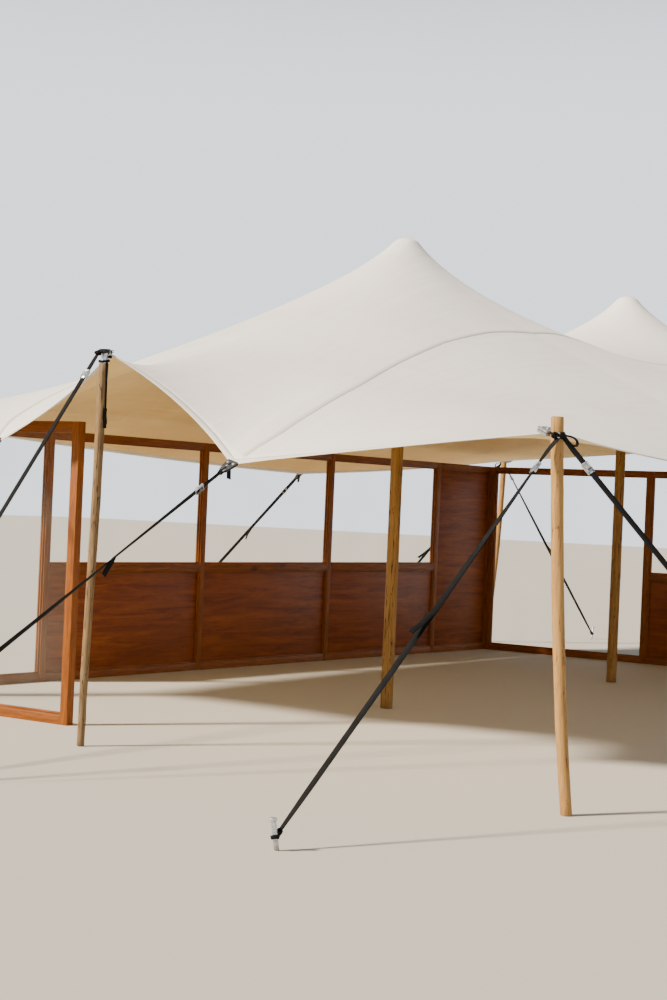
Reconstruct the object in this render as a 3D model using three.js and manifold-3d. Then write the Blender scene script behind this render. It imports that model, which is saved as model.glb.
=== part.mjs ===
// Stretch tent, 10.8 m by 6.9 m of canopy on two centre poles and seven rim poles, with timber and glass screens.
// Millimetres, +Z up. The origin is on the ground, midway between the centre poles. +X runs along the ridge
// to the far end, -Y is the open front. West is -X, east is +X, back is +Y.
import * as THREE from "three";
import { mergeVertices } from "three/addons/utils/BufferGeometryUtils.js";
import Module from "manifold-3d";

const wasm = await Module();
wasm.setup();

// Canopy
const HALF_LENGTH = 5338;
const HALF_WIDTH = 3249;
const PEAK_X = 1894;
const PEAK_HEIGHT = 3618;
const FABRIC = 12;
const DOME_RADIUS = 100;
const DOME_CURVE = 160;
const SEAM_Y = 1150;
// How the stretched cloth shares its pull: more along the ridge outside the peaks, less between them, and
// more towards each peak.
const RIDGE_PULL = 2;
const SADDLE_PULL = 0.8;
const PEAK_PULL = 0.6;
const PULL_REACH = 4000;
const PULL_CORE = 50;
// The scalloped edges are eased into the plan grid from these distances outwards.
const EASE_FROM_X = 2400;
const EASE_FROM_Y = 600;
const EASE_POWER = 1.5;

// Heights at which the fabric's edge is held
const FRONT_CORNER_Z = 1965;
const CORNER_Z = 2160;
const HIGH_POINT_Z = 2408;
const FRONT_LOW_Z = 1780;
const BACK_LOW_Z = 1850;
const BACK_LOW_X = 1534;

// Poles
const CENTRE_POLE_RADIUS = 46;
const CORNER_POLE = { foot: 31, head: 33, rise: 75 };
const HIGH_POLE = { foot: 23, head: 30, rise: -3, clear: 22 };
const POLE_SIDES = 16;
const CORNER_BASE = { x: 5280, y: 3370 };
const CORNER_TOP = { x: 5358, y: 3262 };
const HIGH_EDGE = 5360;
const SIDE_EDGE = 3450;
const END_TIP_Y = -160;

// Ground stakes
const STAKE_RADIUS = 12;
const STAKE_HEAD_RADIUS = 18;
const STAKE_HEIGHT = 150;
const STAKE_LEAN = 0.25;
const CORNER_STAKE_OUT = 1890;
const CORNER_STAKE_IN = 430;
const SIDE_STAKE_OUT = 1580;
const SIDE_STAKE_IN = 230;
const HIGH_STAKE_OUT = 1850;
const END_STAKE_X = 7470;
const WEST_STAKE_Y = -460;

// Straps
const STRAP_WIDTH = 36;
const STRAP_END_WIDTH = 18;
const STRAP_THICK = 4;
const STRAP_TAPER = 260;
const LOOP_Z = 60;
const LOOP_STEP = 24;
// How far under a pole's top its straps leave it, and how far down a strap its ratchet sits
const STRAP_DROP = { end: 100, side: 72 };
const RATCHET_AT = { end: 240, side: 255, high: 200, low: 260 };
const RATCHET = { length: 84, width: 46, height: 30 };
// Clamp plates hold the cloth at a low point, in the plane of its edge, and on top of a high pole, level.
// rise is how far the low ones face upwards for each step that they face out.
const PLATE = { length: 100, width: 92, height: 18, bite: 24, rise: 0.45 };

// Screens
const SCREEN_DEPTH = 62;
const POST_WIDTH = 66;
const HEAD_HEIGHT = 62;
const RAIL_HEIGHT = 66;
const PANEL_THICK = 18;
const GLASS_THICK = 6;
const WEST_SCREEN_X = -4700;
const EAST_SCREEN_X = 4250;
const EAST_SCREEN_FROM = -2500;
const EAST_BAY = 1655;
const WEST_SCREEN_FROM = 690;
const SCREEN_Y = 2800;
const WEST_HEAD = 2020;
const SCREEN_HEAD = 2050;
const LOW_PANEL = 960;

// Gap between pieces that touch, and the depth to which pieces run into each other before they are cut
const SEAT = 0.3;
const RUN_IN = 10;

const material = (color, roughness, metalness = 0) =>
  new THREE.MeshStandardMaterial({ color, roughness, metalness });
const FINISH = {
  fabric: material(0xece7e2, 0.85),
  stainedWood: material(0xaa5514, 0.5),
  paleWood: material(0xd7b482, 0.7),
  greyWood: material(0x968269, 0.8),
  centreWood: material(0xaa7332, 0.6),
  webbing: material(0x2d2d32, 0.8),
  zinc: material(0xc8cdd2, 0.35, 1),
  glass: material(0xdfeae6, 0.05),
  cap: material(0x303030, 0.5),
};

const tent = new THREE.Group();

// A closed geometry as a solid, with its shared vertices merged.
function solid(geometry) {
  const plain = new THREE.BufferGeometry();
  plain.setAttribute("position", geometry.getAttribute("position"));
  plain.setIndex(geometry.getIndex());
  const merged = mergeVertices(plain, 1e-3);
  return new wasm.Manifold(
    new wasm.Mesh({
      numProp: 3,
      vertProperties: merged.attributes.position.array,
      triVerts: new Uint32Array(merged.index.array),
    }),
  );
}

// A solid as a geometry.
function geometryOf(body) {
  const mesh = body.getMesh();
  const positions = new Float32Array(mesh.numVert * 3);
  for (let i = 0; i < mesh.numVert; i++) {
    const start = i * mesh.numProp;
    positions.set(mesh.vertProperties.subarray(start, start + 3), i * 3);
  }
  const geometry = new THREE.BufferGeometry();
  geometry.setAttribute("position", new THREE.BufferAttribute(positions, 3));
  geometry.setIndex(new THREE.BufferAttribute(mesh.triVerts, 1));
  geometry.computeVertexNormals();
  return geometry;
}

const joined = (solids) => solids.reduce((a, b) => a.add(b));
const cutBy = (body, tools) => tools.reduce((a, b) => a.subtract(b), body);

function add(name, body, finish) {
  const mesh = new THREE.Mesh(geometryOf(body), finish);
  mesh.name = name;
  tent.add(mesh);
}

// The canopy's grid lines: close together at a peak, wider towards the rim.
function gridLines() {
  const away = [0, 50, 100, 160, 240, 360, 520, 720, 1000];
  const outer = 8;
  const half = [0, 300, 600, 880, SEAM_Y];
  for (const d of away.slice(1, 7).reverse()) half.push(PEAK_X - d);
  for (const d of away) half.push(PEAK_X + d);
  const start = PEAK_X + away.at(-1);
  for (let i = 1; i <= outer; i++) {
    half.push(start + ((HALF_LENGTH - start) * i) / outer);
  }
  const across = [...away.slice(0, 8), 920, SEAM_Y, 1400, 1700, 2000, 2350, 2700, 3000, HALF_WIDTH];
  const mirrored = (side) => [...side.slice(1).reverse().map((v) => -v), ...side];
  return { xs: mirrored(half), ys: mirrored(across) };
}

// The points where each edge is held: s is the grid line, along and out the real place, z the height.
// bow and sag say how far the stretch to the next point curves inwards and down.
function heldPoints() {
  const held = (s, along, out, z, bow = 0, sag = 0) => ({ s, along, out, z, bow, sag });
  const low = SEAM_Y;
  const W = HALF_WIDTH;
  const L = HALF_LENGTH;
  return {
    west: [
      held(-W, -W, L, FRONT_CORNER_Z, 100, -18),
      held(-low, -low, 5370, 1750, 100, -20),
      held(0, END_TIP_Y, HIGH_EDGE, HIGH_POINT_Z, 80),
      held(low, low, 5000, 1860, 100, 20),
      held(W, W, L, CORNER_Z),
    ],
    east: [
      held(-W, -W, L, CORNER_Z, 140, 20),
      held(0, 0, HIGH_EDGE, HIGH_POINT_Z, 140, 20),
      held(W, W, L, CORNER_Z),
    ],
    front: [
      held(-L, -L, W, FRONT_CORNER_Z, 250),
      held(-low, -low, SIDE_EDGE, FRONT_LOW_Z, 80),
      held(0, 0, SIDE_EDGE, HIGH_POINT_Z, 80),
      held(low, low, SIDE_EDGE, FRONT_LOW_Z, 250),
      held(L, L, W, CORNER_Z),
    ],
    back: [
      held(-L, -L, W, CORNER_Z, -50, 50),
      held(BACK_LOW_X, BACK_LOW_X, SIDE_EDGE, BACK_LOW_Z, -50, 30),
      held(L, L, W, CORNER_Z),
    ],
  };
}

// The place of one edge at grid line s.
function edgeAt(points, s) {
  const i = Math.max(1, points.findIndex((p) => p.s >= s - 1e-6));
  const a = points[i - 1];
  const b = points[i];
  const t = (s - a.s) / (b.s - a.s);
  const arch = 4 * t * (1 - t);
  const mix = (p, q) => p + (q - p) * t;
  return {
    along: mix(a.along, b.along),
    out: mix(a.out, b.out) - a.bow * arch,
    z: mix(a.z, b.z) - a.sag * arch,
  };
}

// The middle surface of the canopy, as rows of points: its edges follow the held points, its two domes the
// caps, and the cloth between them takes the height at which its pulls balance.
function canopySurface() {
  const { xs, ys } = gridLines();
  const held = heldPoints();
  const ease = (from, to, v) => THREE.MathUtils.clamp((v - from) / (to - from), 0, 1) ** EASE_POWER;
  const west = ys.map((y) => edgeAt(held.west, y));
  const east = ys.map((y) => edgeAt(held.east, y));
  const front = xs.map((x) => edgeAt(held.front, x));
  const back = xs.map((x) => edgeAt(held.back, x));
  const toPeak = (x, y) => Math.min(Math.hypot(x - PEAK_X, y), Math.hypot(x + PEAK_X, y));
  const grid = xs.map((x, i) =>
    ys.map((y, j) => {
      const toWest = ease(EASE_FROM_X, HALF_LENGTH, -x);
      const toEast = ease(EASE_FROM_X, HALF_LENGTH, x);
      const px = x - toWest * (west[j].out - HALF_LENGTH) + toEast * (east[j].out - HALF_LENGTH);
      const py =
        y -
        ease(EASE_FROM_Y, HALF_WIDTH, -y) * (front[i].out - HALF_WIDTH) +
        ease(EASE_FROM_Y, HALF_WIDTH, y) * (back[i].out - HALF_WIDTH) +
        toWest * (west[j].along - y);
      return new THREE.Vector3(px, py, NaN);
    }),
  );
  west.forEach((e, j) => (grid[0][j].z = e.z));
  east.forEach((e, j) => (grid.at(-1)[j].z = e.z));
  front.forEach((e, i) => (grid[i][0].z = e.z));
  back.forEach((e, i) => (grid[i].at(-1).z = e.z));
  grid.flat().forEach((p) => {
    const r = toPeak(p.x, p.y);
    if (r < DOME_RADIUS + 1e-3) p.z = PEAK_HEIGHT - DOME_CURVE + Math.sqrt(DOME_CURVE ** 2 - r ** 2);
  });
  balance(xs, ys, grid, toPeak);
  return grid;
}

// Fills in the heights that are still open, by conjugate gradients on the pulls between neighbours.
function balance(xs, ys, grid, toPeak) {
  const nx = xs.length;
  const ny = ys.length;
  const flat = grid.flat();
  const open = flat.map((p) => Number.isNaN(p.z));
  const share = (lines, i) => ((lines[i + 1] ?? lines[i]) - (lines[i - 1] ?? lines[i])) / 2;
  const pull = (a, b) => {
    const r = toPeak((a.x + b.x) / 2, (a.y + b.y) / 2);
    return (PULL_REACH / THREE.MathUtils.clamp(r, PULL_CORE, PULL_REACH)) ** PEAK_PULL;
  };
  const links = [];
  for (let i = 0; i < nx; i++) {
    for (let j = 0; j < ny; j++) {
      const a = i * ny + j;
      if (i + 1 < nx) {
        const middle = Math.abs(xs[i + 1] + xs[i]) / 2;
        const along = middle < PEAK_X ? SADDLE_PULL : RIDGE_PULL;
        const weight = (along * share(ys, j)) / (xs[i + 1] - xs[i]);
        links.push([a, a + ny, weight * pull(flat[a], flat[a + ny])]);
      }
      if (j + 1 < ny) {
        const weight = share(xs, i) / (ys[j + 1] - ys[j]);
        links.push([a, a + 1, weight * pull(flat[a], flat[a + 1])]);
      }
    }
  }
  const apply = (z) => {
    const out = new Float64Array(z.length);
    for (const [a, b, k] of links) {
      out[a] += k * (z[a] - z[b]);
      out[b] += k * (z[b] - z[a]);
    }
    return out.map((v, i) => (open[i] ? v : 0));
  };
  const dot = (a, b) => a.reduce((sum, v, i) => sum + v * b[i], 0);
  const z = Float64Array.from(flat, (p, i) => (open[i] ? FRONT_CORNER_Z : p.z));
  let rest = apply(z).map((v) => -v);
  let way = rest.slice();
  let size = dot(rest, rest);
  for (let step = 0; step < 2000 && size > 1e-10; step++) {
    const along = apply(way);
    const length = size / dot(way, along);
    z.forEach((v, i) => (z[i] = v + length * way[i]));
    rest = rest.map((v, i) => v - length * along[i]);
    const next = dot(rest, rest);
    way = way.map((v, i) => rest[i] + (next / size) * v);
    size = next;
  }
  flat.forEach((p, i) => (p.z = z[i]));
}

// Normals of the surface at its grid points.
function surfaceNormals(grid) {
  const at = (i, j) => grid[THREE.MathUtils.clamp(i, 0, grid.length - 1)][
    THREE.MathUtils.clamp(j, 0, grid[0].length - 1)
  ];
  return grid.map((row, i) =>
    row.map((_, j) => {
      const alongX = at(i + 1, j).clone().sub(at(i - 1, j));
      const alongY = at(i, j + 1).clone().sub(at(i, j - 1));
      return alongX.cross(alongY).normalize();
    }),
  );
}

// The sheet with its thickness: the surface moved up and down along its normals, closed round the rim.
function sheetGeometry(grid, thickness) {
  const normals = surfaceNormals(grid);
  const nx = grid.length;
  const ny = grid[0].length;
  const points = [];
  for (const side of [1, -1]) {
    grid.forEach((row, i) =>
      row.forEach((p, j) => {
        const moved = p.clone().addScaledVector(normals[i][j], (side * thickness) / 2);
        points.push(...moved.toArray());
      }),
    );
  }
  const id = (i, j, under) => (under ? nx * ny : 0) + i * ny + j;
  const faces = [];
  const quad = (a, b, c, d) => faces.push(a, b, c, a, c, d);
  for (let i = 0; i + 1 < nx; i++) {
    for (let j = 0; j + 1 < ny; j++) {
      quad(id(i, j), id(i + 1, j), id(i + 1, j + 1), id(i, j + 1));
      quad(id(i, j, true), id(i, j + 1, true), id(i + 1, j + 1, true), id(i + 1, j, true));
    }
  }
  for (let i = 0; i + 1 < nx; i++) {
    const last = ny - 1;
    quad(id(i, 0), id(i, 0, true), id(i + 1, 0, true), id(i + 1, 0));
    quad(id(i + 1, last), id(i + 1, last, true), id(i, last, true), id(i, last));
  }
  for (let j = 0; j + 1 < ny; j++) {
    const last = nx - 1;
    quad(id(0, j + 1), id(0, j + 1, true), id(0, j, true), id(0, j));
    quad(id(last, j), id(last, j, true), id(last, j + 1, true), id(last, j + 1));
  }
  const geometry = new THREE.BufferGeometry();
  geometry.setAttribute("position", new THREE.Float32BufferAttribute(points, 3));
  geometry.setIndex(faces);
  return geometry;
}

// A round pole from the ground point base to the point top. It is sheared, so that its foot stays flat.
function poleSolid({ base, top, foot, head, grow = 0 }) {
  const height = top.z + grow;
  const profile = [
    new THREE.Vector2(0, 0),
    new THREE.Vector2(foot + grow, 0),
    new THREE.Vector2((foot + head) / 2 + grow, height / 2),
    new THREE.Vector2(head + grow, height - head * 0.3),
    new THREE.Vector2(head * 0.7 + grow, height),
    new THREE.Vector2(0, height),
  ];
  const pole = new THREE.LatheGeometry(profile, POLE_SIDES);
  pole.rotateX(Math.PI / 2);
  const lean = new THREE.Matrix4();
  lean.set(
    1, 0, (top.x - base.x) / top.z, base.x,
    0, 1, (top.y - base.y) / top.z, base.y,
    0, 0, 1, 0,
    0, 0, 0, 1,
  );
  pole.applyMatrix4(lean);
  return solid(pole);
}

// A ground stake that leans away from the tent, with its head on top.
function stakeSolid({ place, lean, grow = 0 }) {
  const profile = [
    new THREE.Vector2(0, 0),
    new THREE.Vector2(STAKE_RADIUS + grow, 0),
    new THREE.Vector2(STAKE_RADIUS + grow, STAKE_HEIGHT - 16 - grow),
    new THREE.Vector2(STAKE_HEAD_RADIUS + grow, STAKE_HEIGHT - 13 - grow),
    new THREE.Vector2(STAKE_HEAD_RADIUS + grow, STAKE_HEIGHT + grow),
    new THREE.Vector2(0, STAKE_HEIGHT + grow),
  ];
  const stake = new THREE.LatheGeometry(profile, 12);
  stake.rotateX(Math.PI / 2);
  const shear = new THREE.Matrix4();
  shear.set(
    1, 0, lean.x, place.x,
    0, 1, lean.y, place.y,
    0, 0, 1, 0,
    0, 0, 0, 1,
  );
  stake.applyMatrix4(shear);
  return solid(stake);
}

// Turns a shape that lies along +X with its flat side up so that it runs from one point towards another,
// its flat side turned as far as it goes towards face.
function laidAlong(geometry, from, to, face = new THREE.Vector3(0, 0, 1)) {
  const along = to.clone().sub(from).normalize();
  const side = face.clone().cross(along).normalize();
  const up = along.clone().cross(side);
  const turn = new THREE.Matrix4().makeBasis(along, side, up);
  turn.setPosition(from);
  return geometry.applyMatrix4(turn);
}

// A taut strap from one point to another, narrowing to the loop at its end, with its ratchet.
function strapSolid(from, to, ratchetAt) {
  const length = from.distanceTo(to);
  const wide = STRAP_WIDTH / 2;
  const narrow = STRAP_END_WIDTH / 2;
  const outline = new THREE.Shape([
    new THREE.Vector2(0, -wide),
    new THREE.Vector2(length - STRAP_TAPER, -wide),
    new THREE.Vector2(length, -narrow),
    new THREE.Vector2(length, narrow),
    new THREE.Vector2(length - STRAP_TAPER, wide),
    new THREE.Vector2(0, wide),
  ]);
  const band = new THREE.ExtrudeGeometry(outline, { depth: STRAP_THICK, bevelEnabled: false });
  band.translate(0, 0, -STRAP_THICK / 2);
  const buckle = new THREE.BoxGeometry(RATCHET.length, RATCHET.width, RATCHET.height);
  buckle.translate(ratchetAt, 0, 0);
  return joined([solid(laidAlong(band, from, to)), solid(laidAlong(buckle, from, to))]);
}

// The clamp plates that hold the fabric's edge, biting over it.
function plateSolid({ from, to, face }, grow = 0) {
  const plate = new THREE.BoxGeometry(
    PLATE.length + 2 * grow,
    PLATE.width + 2 * grow,
    PLATE.height + 2 * grow,
  );
  plate.translate(PLATE.length / 2 - PLATE.bite, 0, 0);
  return solid(laidAlong(plate, from, to, face));
}

const point = (x, y, z) => new THREE.Vector3(x, y, z);
const up = (p, z) => point(p.x, p.y, z);

// The rim poles. Each stands just outside the tip of fabric that it holds, and leans a little.
function rimPoles() {
  const corner = (sx, sy, z) => ({
    base: point(sx * CORNER_BASE.x, sy * CORNER_BASE.y, 0),
    top: point(sx * CORNER_TOP.x, sy * CORNER_TOP.y, z + CORNER_POLE.rise),
    ...CORNER_POLE,
  });
  const clear = HIGH_POLE.clear;
  const high = (baseX, baseY, topX, topY) => ({
    base: point(baseX, baseY, 0),
    top: point(topX, topY, HIGH_POINT_Z + HIGH_POLE.rise),
    ...HIGH_POLE,
  });
  return {
    corner_front_west: corner(-1, -1, FRONT_CORNER_Z),
    corner_front_east: corner(1, -1, CORNER_Z),
    corner_back_west: corner(-1, 1, CORNER_Z),
    corner_back_east: corner(1, 1, CORNER_Z),
    end_west: high(-HIGH_EDGE - clear, END_TIP_Y / 2, -HIGH_EDGE - clear, END_TIP_Y + clear),
    end_east: high(HIGH_EDGE + clear, 0, HIGH_EDGE + clear, 0),
    front: high(0, -SIDE_EDGE - clear, 0, -SIDE_EDGE - clear),
  };
}

// The ground stakes, by the same names as the straps that they hold.
function groundStakes() {
  const stake = (x, y, leanX, leanY) => ({
    place: point(x, y, 0),
    lean: new THREE.Vector2(leanX, leanY).multiplyScalar(STAKE_LEAN),
  });
  const stakes = {
    end_west: stake(-END_STAKE_X, WEST_STAKE_Y, -1, 0),
    end_east: stake(END_STAKE_X, 0, 1, 0),
    front: stake(0, -SIDE_EDGE - HIGH_STAKE_OUT, 0, -1),
    back: stake(BACK_LOW_X, SIDE_EDGE + HIGH_STAKE_OUT, 0, 1),
  };
  for (const [ns, sy] of [["front", -1], ["back", 1]]) {
    for (const [ew, sx] of [["west", -1], ["east", 1]]) {
      const outX = CORNER_BASE.x + CORNER_STAKE_OUT;
      const outY = CORNER_BASE.y + SIDE_STAKE_OUT;
      stakes[`${ns}_${ew}_end`] = stake(sx * outX, sy * (CORNER_BASE.y - CORNER_STAKE_IN), sx, 0);
      stakes[`${ns}_${ew}_side`] = stake(sx * (CORNER_BASE.x - SIDE_STAKE_IN), sy * outY, 0, sy);
    }
  }
  return stakes;
}

const poles = rimPoles();
const stakes = groundStakes();
const poleWood = {
  corner_front_west: FINISH.paleWood,
  corner_back_east: FINISH.paleWood,
};

// Where a strap leaves the head of a rim pole: on its axis, this far under its top.
function atHead(pole, under) {
  const z = pole.top.z - under;
  return up(pole.base.clone().lerp(pole.top, z / pole.top.z), z);
}
const onStake = (stake, level) => {
  const z = LOOP_Z + level * LOOP_STEP;
  return point(stake.place.x + stake.lean.x * z, stake.place.y + stake.lean.y * z, z);
};

// Every strap: from the head of a corner pole, or from the plates on a high pole or at a low point, to a stake.
function strapRuns() {
  const runs = {};
  for (const ns of ["front", "back"]) {
    for (const ew of ["west", "east"]) {
      const pole = poles[`corner_${ns}_${ew}`];
      for (const way of ["end", "side"]) {
        runs[`${ns}_${ew}_${way}`] = {
          from: atHead(pole, STRAP_DROP[way]),
          to: onStake(stakes[`${ns}_${ew}_${way}`], 0),
          pole,
          stake: stakes[`${ns}_${ew}_${way}`],
          ratchetAt: RATCHET_AT[way],
        };
      }
    }
  }
  const held = heldPoints();
  const fromHigh = (name, level, outX, outY) => {
    const pole = poles[name];
    const out = point(outX, outY, 0);
    const onTop = pole.top.z + PLATE.height / 2 + SEAT;
    const tip = up(pole.top.clone().addScaledVector(out, -HIGH_POLE.clear), onTop);
    const end = tip.clone().addScaledVector(out, PLATE.length - PLATE.bite);
    return {
      from: end.clone().addScaledVector(out, -RUN_IN),
      to: onStake(stakes[name], level),
      pole,
      stake: stakes[name],
      plate: { from: tip, to: end, face: point(0, 0, 1) },
      ratchetAt: RATCHET_AT.high,
    };
  };
  const fromLow = (at, stake, level, outX, outY) => {
    const to = onStake(stake, level);
    const plate = { from: at, to, face: point(outX, outY, PLATE.rise) };
    return { from: at, to, stake, plate, ratchetAt: RATCHET_AT.low };
  };
  const [, westFront, , westBack] = held.west;
  const [, frontWest, , frontEast] = held.front;
  const [, backMid] = held.back;
  runs.end_west_pole = fromHigh("end_west", 2, -1, 0);
  runs.end_east_pole = fromHigh("end_east", 0, 1, 0);
  runs.front_pole = fromHigh("front", 2, 0, -1);
  const onEnd = (p) => point(-p.out, p.along, p.z);
  const onFront = (p) => point(p.along, -p.out, p.z);
  runs.end_west_front = fromLow(onEnd(westFront), stakes.end_west, 1, -1, 0);
  runs.end_west_back = fromLow(onEnd(westBack), stakes.end_west, 0, -1, 0);
  runs.front_west = fromLow(onFront(frontWest), stakes.front, 1, 0, -1);
  runs.front_east = fromLow(onFront(frontEast), stakes.front, 0, 0, -1);
  runs.back = fromLow(point(backMid.along, backMid.out, backMid.z), stakes.back, 0, 0, 1);
  return runs;
}

const straps = strapRuns();

// The canopy, notched where a pole's head stands at its tip and where clamp plates bite its edge.
function buildCanopy() {
  const sheet = solid(sheetGeometry(canopySurface(), FABRIC));
  const heads = Object.values(poles).map((p) => poleSolid({ ...p, grow: SEAT }));
  const plates = Object.values(straps)
    .filter((s) => s.plate)
    .map((s) => plateSolid(s.plate, SEAT));
  add("canopy", cutBy(sheet, [...heads, ...plates]), FINISH.fabric);
}

// The two centre poles, and the domed caps that spread the peaks.
function buildCentrePoles() {
  const capTop = PEAK_HEIGHT - FABRIC / 2 - SEAT;
  const capDepth = 90;
  const profile = [
    new THREE.Vector2(0, -capDepth),
    new THREE.Vector2(70, -capDepth),
    new THREE.Vector2(92, -capDepth + 14),
    new THREE.Vector2(92, -54),
    new THREE.Vector2(60, -24),
    new THREE.Vector2(0, 0),
  ];
  for (const [name, side] of [["west", -1], ["east", 1]]) {
    const cap = new THREE.LatheGeometry(profile, 20);
    cap.rotateX(Math.PI / 2);
    cap.translate(side * PEAK_X, 0, capTop);
    add(`peak_cap_${name}`, solid(cap), FINISH.cap);
    const top = point(side * PEAK_X, 0, capTop - capDepth - SEAT);
    const pole = poleSolid({ base: up(top, 0), top, foot: CENTRE_POLE_RADIUS + 1, head: CENTRE_POLE_RADIUS });
    add(`centre_pole_${name}`, pole, FINISH.centreWood);
  }
}

function buildRimPoles() {
  for (const [name, pole] of Object.entries(poles)) {
    add(`pole_${name}`, poleSolid(pole), poleWood[name] ?? FINISH.greyWood);
  }
}

function buildStakes() {
  for (const [name, stake] of Object.entries(stakes)) {
    add(`stake_${name}`, stakeSolid(stake), FINISH.zinc);
  }
}

// Each strap ends on the far side of a pole's head and round its stake, so both are cut out of it.
function buildStraps() {
  for (const [name, run] of Object.entries(straps)) {
    const parts = [strapSolid(run.from, run.to, run.ratchetAt)];
    if (run.plate) parts.push(plateSolid(run.plate));
    const tools = [stakeSolid({ ...run.stake, grow: SEAT })];
    if (run.pole) tools.push(poleSolid({ ...run.pole, grow: SEAT }));
    add(`strap_${name}`, cutBy(joined(parts), tools), FINISH.webbing);
  }
}

// One screen, drawn along +X from its start and turned into place: posts at the given distances, a head
// beam and a bottom rail, and plywood in the bays that have it. glass names the bays that have a pane.
function buildScreen({ name, start, turn, posts, head, panels, firstPost = true }) {
  const deep = SCREEN_DEPTH / 2;
  const place = new THREE.Matrix4().makeRotationZ(turn).setPosition(start);
  const placed = (x0, x1, z0, z1, depth) => {
    const box = new THREE.BoxGeometry(x1 - x0, depth, z1 - z0);
    box.translate((x0 + x1) / 2, 0, (z0 + z1) / 2);
    return solid(box.applyMatrix4(place));
  };
  const end = posts.at(-1);
  const half = POST_WIDTH / 2;
  const frame = [
    placed(posts[0] - half, end + half, head - HEAD_HEIGHT, head, 2 * deep),
    placed(posts[0] - half, end + half, 0, RAIL_HEIGHT, 2 * deep),
  ];
  posts.forEach((x) => frame.push(placed(x - half, x + half, 0, head, 2 * deep)));
  const glassLow = RAIL_HEIGHT;
  const glassHigh = head - HEAD_HEIGHT;
  panels.forEach((height, bay) => {
    const left = posts[bay] + half;
    const right = posts[bay + 1] - half;
    let sill = glassLow;
    if (height) {
      const full = height >= glassHigh;
      frame.push(
        placed(left - RUN_IN, right + RUN_IN, RAIL_HEIGHT - RUN_IN, height + RUN_IN * full, PANEL_THICK),
      );
      if (full) return;
      frame.push(placed(left - RUN_IN, right + RUN_IN, height - POST_WIDTH, height, 2 * deep));
      sill = height;
    }
    const pane = placed(left + SEAT, right - SEAT, sill + SEAT, glassHigh - SEAT, GLASS_THICK);
    add(`glass_${name}_${bay + 1}`, pane, FINISH.glass);
  });
  add(`screen_${name}`, joined(frame), FINISH.stainedWood);
}

function buildScreens() {
  const half = POST_WIDTH / 2;
  const backPosts = [WEST_SCREEN_X, -2800, -810, 1160, 3140, EAST_SCREEN_X];
  const toBack = SCREEN_Y - SCREEN_DEPTH / 2 - half - SEAT;
  buildScreen({
    name: "back",
    start: point(WEST_SCREEN_X, SCREEN_Y, 0),
    turn: 0,
    posts: backPosts.map((x) => x - WEST_SCREEN_X),
    head: SCREEN_HEAD,
    panels: [0, LOW_PANEL, LOW_PANEL, LOW_PANEL, SCREEN_HEAD - HEAD_HEIGHT],
  });
  buildScreen({
    name: "end_west",
    start: point(WEST_SCREEN_X, WEST_SCREEN_FROM, 0),
    turn: Math.PI / 2,
    posts: [0, toBack - WEST_SCREEN_FROM],
    head: WEST_HEAD,
    panels: [0],
  });
  buildScreen({
    name: "end_east",
    start: point(EAST_SCREEN_X, EAST_SCREEN_FROM, 0),
    turn: Math.PI / 2,
    posts: [0, EAST_BAY, 2 * EAST_BAY, toBack - EAST_SCREEN_FROM],
    head: SCREEN_HEAD,
    panels: [LOW_PANEL, LOW_PANEL, 0],
  });
}

buildCanopy();
buildCentrePoles();
buildRimPoles();
buildStakes();
buildStraps();
buildScreens();

export default tent;
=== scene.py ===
"""Looks of the stretch tent: canopy, poles, straps, stakes and screens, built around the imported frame.

Metres, +Z up. The origin is on the ground, midway between the centre poles. +X runs along the ridge to the
far end, -Y is the open front. West is -X, east is +X, back is +Y.
"""

from __future__ import annotations

import logging
import math
from collections.abc import Iterator, Sequence
from dataclasses import dataclass, field
from enum import Enum
from functools import lru_cache

import bmesh
import bpy
import numpy as np
from mathutils import Matrix, Vector, noise

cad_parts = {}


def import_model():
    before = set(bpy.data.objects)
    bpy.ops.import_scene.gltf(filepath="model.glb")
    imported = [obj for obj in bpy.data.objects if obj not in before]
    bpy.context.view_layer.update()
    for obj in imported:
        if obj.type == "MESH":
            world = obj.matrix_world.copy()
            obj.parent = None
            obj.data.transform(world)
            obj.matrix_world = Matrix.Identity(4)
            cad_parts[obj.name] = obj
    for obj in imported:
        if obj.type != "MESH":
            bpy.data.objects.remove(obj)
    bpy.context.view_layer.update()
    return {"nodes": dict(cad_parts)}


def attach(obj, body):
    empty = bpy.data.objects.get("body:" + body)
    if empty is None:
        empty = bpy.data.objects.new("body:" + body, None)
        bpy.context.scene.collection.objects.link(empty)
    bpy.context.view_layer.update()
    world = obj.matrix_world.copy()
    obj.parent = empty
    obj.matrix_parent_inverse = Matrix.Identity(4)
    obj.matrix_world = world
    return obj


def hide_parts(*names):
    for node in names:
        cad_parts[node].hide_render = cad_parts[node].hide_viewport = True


log = logging.getLogger("stretch_tent")

MM = 0.001
Bay = tuple[float, float]
Cells = tuple[slice, slice]
CLOTH_UV = "cloth"
X = Vector((1, 0, 0))
Y = Vector((0, 1, 0))
UP = Vector((0, 0, 1))
# A wave texture with this scale repeats once a metre.
WAVE = 0.314


class Grain(Enum):
    """The direction in which a board's grain runs."""

    X = 0
    Y = 1
    Z = 2


def linear(code: str) -> tuple[float, float, float, float]:
    """Turns an sRGB hex colour into a shader's linear colour.

    Args:
        code: The colour, as #RRGGBB.

    Returns:
        Red, green, blue and an alpha of 1.
    """
    parts = [int(code[i : i + 2], 16) / 255 for i in (1, 3, 5)]
    red, green, blue = (v / 12.92 if v <= 0.04045 else ((v + 0.055) / 1.055) ** 2.4 for v in parts)
    return red, green, blue, 1.0


def plug(socket: bpy.types.NodeSocket, value: object) -> None:
    """Sets an input to a value or a hex colour, or links an output to it.

    Args:
        socket: The input.
        value: A number, a vector, a colour as #RRGGBB or an output.
    """
    if isinstance(value, bpy.types.NodeSocket):
        socket.id_data.links.new(value, socket)
    else:
        socket.default_value = linear(value) if isinstance(value, str) else value


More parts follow.
